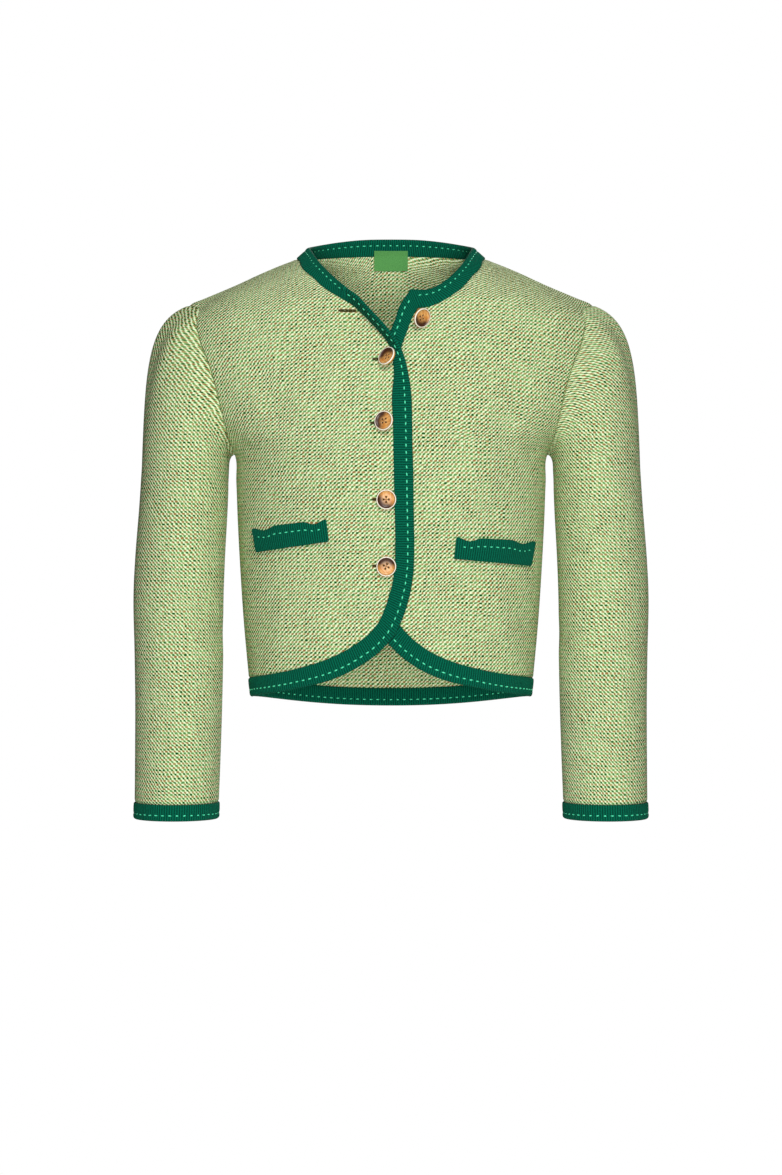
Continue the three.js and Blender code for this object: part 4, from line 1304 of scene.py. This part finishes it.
TRIMS = {
    "front_band_left": (left["seam"](DENSE), left["free"](DENSE), spine, False),
    "front_band_right": (right["seam"](DENSE), right["free"](DENSE), spine, False),
    "neck_band": (neck_line("neck_seam"), neck_line("neck_free"), spine, False),
    "hem_band_back": (back["hem_seam"](TURNS), back["hem_free"](TURNS), spine, False),
    "cuff_band_left": (cuff_line(1, CUFF_SEAM_Z), cuff_line(1, CUFF_EDGE_Z), arm_spine(1), True),
    "cuff_band_right": (cuff_line(-1, CUFF_SEAM_Z), cuff_line(-1, CUFF_EDGE_Z), arm_spine(-1), True),
}
STITCH_SUNK = {"neck_band": 0.42, "hem_band_back": 0.3, "cuff_band_left": 0.3, "cuff_band_right": 0.3}
BANDS = {}
for node, (seam, free, outward, closed) in TRIMS.items():
    item, band = trim_object(f"{node}_rib", seam, free, outward, closed)
    BANDS[node] = (dress(item, "trim", node), band)
    dress(stitch_object(f"{node}_stitches", band, sunk=STITCH_SUNK.get(node, 0)), "stitch")


# ---- pocket welts ----
def on_front(which, x, z, reach=0.0):
    """A point of a front's outer face, and the direction out of it there."""
    offset = top_offset if which == "top" else under_offset
    surface = lambda dx, dz: body_point(turn_of(x + dx, z + dz), z + dz, -1, offset)
    out = unit(np.cross(surface(1, 0) - surface(-1, 0), surface(0, 1) - surface(0, -1)))
    out = np.where(out[..., 1:2] > 0, -out, out)
    return surface(0, 0) + out * (CLOTH / 2 + reach), out


def pocket_welt(name, which, row):
    """A short ribbed strip over a pocket mouth, sewn on round its lower edge, open at the top."""
    welt = {key: values[row] for key, values in POCKET_WELTS.items()}
    along = np.linspace(0, 1, WELT["steps"] + 1)
    between_ends = lambda key: mix(welt["outer" + key], welt["inner" + key], along)
    dip = np.sin(math.pi * np.minimum(np.minimum(along, 1 - along) / WELT["dip"], 1)) ** 2
    x, top = between_ends("X"), between_ends("Top") + welt["bulge"] * (1 - WELT["depth"] * dip)
    reach = WELT["clearance"] + WELT["thickness"] / 2
    free, _ = on_front(which, x, top, reach)
    seam, _ = on_front(which, x + between_ends("Lean"), between_ends("Bottom"), reach)
    item, band = trim_object(f"{name}_rib", seam, free, spine, False, WELT["thickness"] / TRIM)
    BANDS[name] = (dress(item, "trim", name), band)
    dress(stitch_object(f"{name}_stitches", band, faces=(1,), sunk=WELT["sunk"]), "stitch")


pocket_welt("pocket_welt_right", "top", 0)
pocket_welt("pocket_welt_left", "under", 1)

# ---- buttons ----
# The turned section, from the middle of the back round to the middle of the face.
BUTTON_TURN = table("""
radius height
0 -1.9
7.4 -1.9
8.8 -1.75
9.6 -1.2
9.95 -0.4
10.05 0.6
9.95 1.3
9.7 1.68
9.35 1.8
9.0 1.68
8.65 1.25
7.8 0.55
6.4 0.1
4.4 -0.1
2.2 -0.1
0 -0.1
""")
BUTTON_SIDES = 64
BUTTON_HOLES = 1.7 * np.array([(1, 1, 0), (-1, 1, 0), (-1, -1, 0), (1, -1, 0)])
DRILL = table("""
radius height
0 -3
1.02 -3
1.02 3
0 3
""")
DRILL_SIDES = 20
HOLE_SHADE_PLUG = {"z": -1.1, "height": 0.2}  # the near-black thread plug in each hole, painted shade: its middle and its part of the drill
CROSS_THREAD = {"radius": 0.14, "apart": 0.2, "steps": 14}
CROSS_ARCH = {"end": -1.4, "rise": 0.42, "sink": 0.15, "power": 0.35}
SHANK = {"radius": 1.1, "inset": 0.3, "root": 0.8, "sag": 0.6, "steps": 12, "sides": 12}
THREAD_SIDES = 8


def turned(radius, height, sides):
    """Rings of points round Z, one for each radius and height."""
    angle = round_angles(sides)
    return stack(radius[:, None] * np.cos(angle), radius[:, None] * np.sin(angle), height[:, None])


def turned_mesh(profile, sides):
    """Points and faces of a section turned about Z, closed on the axis at both ends."""
    rings = turned(*profile.values(), sides)
    points, (_, _, *quads) = rings_mesh(rings[1:-1])
    last = 1 + len(points) - sides
    faces = [[0, 1 + (k + 1) % sides, 1 + k] for k in range(sides)]
    faces += [[1 + index for index in quad] for quad in quads]
    faces += [[last + k, last + (k + 1) % sides, 1 + len(points)] for k in range(sides)]
    return np.vstack([rings[0, :1], points, rings[-1, :1]]), faces


def button_frame(node):
    """The turn and place of a button's solid: its own Z axis is the direction that its face looks."""
    mesh = frame["nodes"][node].data
    points = np.array([vertex.co for vertex in mesh.vertices]) / MM
    low, high = points.min(0), points.max(0)
    _, _, axes = np.linalg.svd(points - points.mean(0), full_matrices=False)
    out = Vector(axes[2] * -np.sign(axes[2][1]))
    return Matrix.Translation(Vector((low + high) / 2)) @ out.to_track_quat("Z", "Y").to_matrix().to_4x4()


def cut(item, cutters):
    """The cutters' shapes taken out of an object's mesh."""
    change = item.modifiers.new("cut", "BOOLEAN")
    change.operation = "DIFFERENCE"
    change.solver = "EXACT"
    change.object = cutters
    graph = bpy.context.evaluated_depsgraph_get()
    mesh = bpy.data.meshes.new_from_object(item.evaluated_get(graph))
    item.modifiers.clear()
    item.data = mesh
    bpy.data.objects.remove(cutters)
    mesh.shade_smooth()


def unrolled(points, faces, profile, turn):
    """Flat coordinates for each corner of a turned shape: how far along the section, in its direction."""
    from_face = arc_lengths(stack(*profile.values())[::-1])[::-1]
    corners = points[np.concatenate(faces)]
    middles = np.repeat([points[face].mean(0) for face in faces], [len(face) for face in faces], axis=0)
    radius = np.hypot(corners[:, :1], corners[:, 1:2])
    nearest = np.argmin(np.hypot(profile["radius"] - radius, profile["height"] - corners[:, 2:]), axis=1)
    way = unit(np.where(radius > 0, corners, middles)[:, :2])
    cosine, sine = math.cos(turn), math.sin(turn)
    return way @ [[cosine, sine], [-sine, cosine]] * from_face[nearest, None]


def make_button(node, which, roll, dark):
    """A turned horn disc with four holes, its thread, and the thread shank that holds it off the cloth."""
    place = button_frame(node) @ Matrix.Rotation(math.radians(roll), 4, "Z")
    points, faces = turned_mesh(BUTTON_TURN, BUTTON_SIDES)
    # dark turns the painted shade of the dish round the button.
    flat = unrolled(points, faces, BUTTON_TURN, math.radians(PAINTED_SHADE_SIDE + roll - dark))
    disc = mesh_object(f"{node}_disc", points, faces, flat)
    bore, bore_faces = turned_mesh(DRILL, DRILL_SIDES)
    points, faces = join([(bore + hole, bore_faces) for hole in BUTTON_HOLES])
    cut(disc, mesh_object("drill", points, faces, face_flat(points, faces)))
    disc.data.transform(Matrix.Scale(MM, 4) @ place @ Matrix.Scale(1 / MM, 4))
    dress(disc, "button", node)

    t = np.linspace(0, 1, CROSS_THREAD["steps"] + 1)
    height = CROSS_ARCH["rise"] * np.sin(math.pi * t) ** CROSS_ARCH["power"] - CROSS_ARCH["sink"]
    height[[0, -1]] = CROSS_ARCH["end"]
    threads = []
    for a, b in (BUTTON_HOLES[[0, 2]], BUTTON_HOLES[[1, 3]]):
        for shift in (-CROSS_THREAD["apart"], CROSS_THREAD["apart"]):
            offset = np.array([shift, -shift * a[0] * a[1] / 4, 0])
            line = mix(a + offset, b + offset, t[:, None])
            line[:, 2] = height
            threads.append(tube(line, CROSS_THREAD["radius"], THREAD_SIDES))
    # Painted shade: a near-black plug sunk in each hole.
    plug = bore * (1, 1, HOLE_SHADE_PLUG["height"]) + (0, 0, HOLE_SHADE_PLUG["z"])
    thread_object(f"{node}_hole_thread", [(plug + hole, bore_faces) for hole in BUTTON_HOLES], "hole", place)
    thread_object(f"{node}_thread", threads, "thread", place)

    behind = np.array(place @ Vector((0, 0, BUTTON_TURN["height"][0] + SHANK["inset"])))
    cloth, out = on_front(which, behind[0], behind[2])
    foot = behind - out * ((behind - cloth) * out).sum() - out * SHANK["root"]
    t = np.linspace(0, 1, SHANK["steps"] + 1)[:, None]
    line = mix(foot, behind, t) - SHANK["sag"] * np.sin(math.pi * t) * np.array(place.col[2][:3])
    thread_object(f"{node}_shank", [tube(line, SHANK["radius"], SHANK["sides"])], "thread")


# Which front carries each button, how far round it is sewn on, and where the painted shade on its dish lies, in
# degrees.
for node, which, roll, dark in (
    ("button_1", "under", 20, 255),
    ("button_2", "top", 12, 118),
    ("button_3", "top", 8, 165),
    ("button_4", "top", 45, 232),
    ("button_5", "top", 24, 92),
):
    make_button(node, which, roll, dark)

# ---- the armhole seams: a thread that shows in each groove ----
SEAM_THREAD = {"radius": 0.55, "rise": 0.35}
for side, name in ((1, "left"), (-1, "right")):
    line = sleeve_rings[0] * (side, 1, 1) + SHEETS[f"sleeve_{name}"][1][0] * SEAM_THREAD["rise"]
    thread = tube(np.vstack([line, line[:1]]), SEAM_THREAD["radius"], THREAD_SIDES)
    thread_object(f"armhole_seam_{name}", [thread], "seam")

# ---- buttonholes: slits through the top front, bound with thread whose dark olive-brown colour is partly painted shade ----
BUTTONHOLE = {"length": 17.5, "height": 1.6, "depth": 14}
BINDING = {"radius": 0.75, "reach": 0.1, "ridges": 46, "ridge": 0.1, "flatness": 0.7, "sides": 8}
BINDING_OVAL = (0.5, 0.8)  # the powers that make the oval's ends and its long sides fuller
BINDING_INWARD = 0.4  # how much of the way to the slit's middle counts along it
BOX_FACES = [(0, 1, 3, 2), (4, 6, 7, 5), (0, 4, 5, 1), (2, 3, 7, 6), (0, 2, 6, 4), (1, 5, 7, 3)]


def binding(number, x, z):
    """The binding round one slit: a flat oval of satin stitches."""
    count, sides = BINDING["ridges"] * 4, BINDING["sides"]
    angle = round_angles(count)
    oval = lambda wave, size, power: (size / 2 + BINDING["reach"]) * np.sign(wave) * abs(wave) ** power
    oval_x = oval(np.cos(angle), BUTTONHOLE["length"], BINDING_OVAL[0])
    oval_z = oval(np.sin(angle), BUTTONHOLE["height"], BINDING_OVAL[1])
    centre, out = on_front("top", x + oval_x, z + oval_z, BINDING["reach"])
    inward = stack(-BINDING_INWARD * np.cos(angle), 0, -np.sin(angle))
    inward = unit(inward - out * (inward * out).sum(-1, keepdims=True))
    size = BINDING["radius"] * (1 + BINDING["ridge"] * np.cos(np.arange(count) * math.pi / 2))[:, None, None]
    turn = round_angles(sides)[:, None]
    ring = np.cos(turn) * inward[:, None] + BINDING["flatness"] * np.sin(turn) * out[:, None]
    points, faces = rings_mesh(centre[:, None] + size * ring, looped=True)
    flat = quad_spots(count, sides).reshape(-1, 2) * RIB_PITCH / 4
    dress(mesh_object(f"buttonhole_{number}", points, faces, flat), "binding", slot="trim")


slits = []
half = np.array([BUTTONHOLE["length"], BUTTONHOLE["depth"], BUTTONHOLE["height"]]) / 2
box = np.array([(a, b, c) for a in (-1, 1) for b in (-1, 1) for c in (-1, 1)]) * half
for number, (x, z) in enumerate(zip(*BUTTONHOLES.values()), 1):
    binding(number, x, z)
    point, _ = on_front("top", np.array([x]), np.array([z]))
    slits.append((box + point[0], BOX_FACES))
points, faces = join(slits)
cut(CLOTHS["front_right"], mesh_object("slits", points, faces, face_flat(points, faces)))


# ---- the neck label: woven tape, folded under at both ends, left bare ----
def make_label():
    columns = np.linspace(-0.5, 0.5, LABEL_TAPE["columns"] + 1) * LABEL["width"]
    x, z = np.meshgrid(columns, np.linspace(LABEL["top"], LABEL["bottom"], LABEL_TAPE["rows"] + 1))
    seam = body_point(turn_of(x, BACK_NECK_Z), BACK_NECK_Z, 1)
    lean = np.maximum(z - BACK_NECK_Z, 0) * BACK_NECK_LEAN
    y = seam[..., 1] - lean - TRIM / 2 - LABEL["clearance"] - LABEL["thickness"] / 2
    fold, soft, half = (LABEL_TAPE[key] for key in ("fold", "soft", "half"))
    folded = 1 - ease(fold - soft, fold + soft, LABEL["width"] / 2 - abs(x))
    grid = stack(x, y, z)
    inner = half + LABEL_TAPE["turned"] * folded
    normals = grid_normals(grid, False, spine)
    item = wall_object("neck_label_tape", grid, normals, np.full(x.shape, half), inner, stack(x, z))
    return dress(item, "label", "neck_label")


neck_label = make_label()


# ---- floor, light and camera, in metres but for the floor ----
FLOOR = {"radius": 1050, "edge": 12, "middle": 0.02, "z": -1200, "sides": 96}
WORLD_LIGHT = 0.05  # what the white surroundings give; the camera sees them at full strength
LIGHTS = (  # a place, a width and a power
    ("key", (0.45, -2.6, 1.5), 0.6, 52),
    ("fill", (0, -3.1, -0.62), 1.0, 56),
    ("back", (0.4, 2.5, 1.2), 1.8, 80),
)
LIGHTS_AIM = Vector((0, 0, -0.28))
VIEW_HEIGHT = 1.23375  # what the picture spans, top to bottom, at the garment
VIEW_MIDDLE_Z = -0.344
VIEW_DISTANCE = 3.0
SENSOR = 36


def surroundings():
    bpy.context.scene.view_settings.view_transform = "Standard"
    world = bpy.data.worlds.new("studio")
    bpy.context.scene.world = world
    world.use_nodes = True
    tree = world.node_tree
    background = tree.nodes["Background"]
    ray = tree.nodes.new("ShaderNodeLightPath")
    shade = tree.nodes.new("ShaderNodeMapRange")
    tree.links.new(ray.outputs["Is Camera Ray"], shade.inputs["Value"])
    shade.inputs["To Min"].default_value = WORLD_LIGHT
    shade.inputs["To Max"].default_value = 1.0
    tree.links.new(shade.outputs[0], background.inputs["Strength"])
    background.inputs["Color"].default_value = (1, 1, 1, 1)


def make_floor():
    """A round table top with a rounded edge."""
    radius, edge, z = FLOOR["radius"], FLOOR["edge"], FLOOR["z"]
    rows = [(FLOOR["middle"], z), (radius - edge, z), (radius - edge / 4, z - edge / 4), (radius, z - edge)]
    points, (_, _, *sides) = rings_mesh(turned(*np.array(rows).T, FLOOR["sides"]))
    floor = mesh_object("floor", points, [list(range(FLOOR["sides"]))] + sides)
    floor.data.materials.append(Shader("floor").finish((246, 246, 244), 0.9))
    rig.stage(floor)


def make_lights():
    for name, place, size, power in LIGHTS:
        lamp = bpy.data.lights.new(name, "AREA")
        lamp.shape = "DISK"
        lamp.size = size
        lamp.energy = power
        item = add_object(name, lamp, place)
        item.rotation_euler = (LIGHTS_AIM - item.location).to_track_quat("-Z", "Y").to_euler()


def make_camera():
    """Level and straight in front of the middle of the garment."""
    lens = bpy.data.cameras.new("camera")
    lens.sensor_fit = "VERTICAL"
    lens.sensor_height = SENSOR
    lens.lens = SENSOR * VIEW_DISTANCE / VIEW_HEIGHT
    item = add_object("camera", lens, (0, -VIEW_DISTANCE, VIEW_MIDDLE_Z))
    item.rotation_euler = (math.pi / 2, 0, 0)
    bpy.context.scene.camera = item


make_camera()
surroundings()
make_floor()
make_lights()

# ---- what each sheet of cloth is cut to ----
def sheet_area(grid, closed=False):
    """The area of a grid of middle points, in square metres."""
    if closed:
        grid = np.concatenate([grid, grid[:, :1]], 1)
    a, b = grid[1:, 1:] - grid[:-1, :-1], grid[1:, :-1] - grid[:-1, 1:]
    return np.linalg.norm(np.cross(a, b), axis=-1).sum() / 2 * MM**2


FLAT_SIZES = {"back": (0.47, 0.56), "front": (0.27, 0.5), "sleeve": (0.36, 0.56)}
for node, (grid, _, _, closed) in SHEETS.items():
    area = round(sheet_area(grid, closed), 4)
    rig.sheet(CLOTHS[node], flat=FLAT_SIZES[node.split("_")[0]], held="hung", area=area)
for item, band in BANDS.values():
    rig.sheet(item, flat=(band["goal"][-1] * MM, band["width"] * MM), held="hung")
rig.sheet(neck_label, flat=(LABEL["width"] * MM, (LABEL["top"] - LABEL["bottom"]) * MM), held="hung")

low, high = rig.bounds()
with open("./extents.json", "w") as file:
    json.dump({"cad": [list(corner) for corner in CAD_BOX], "visual": [list(low), list(high)]}, file)
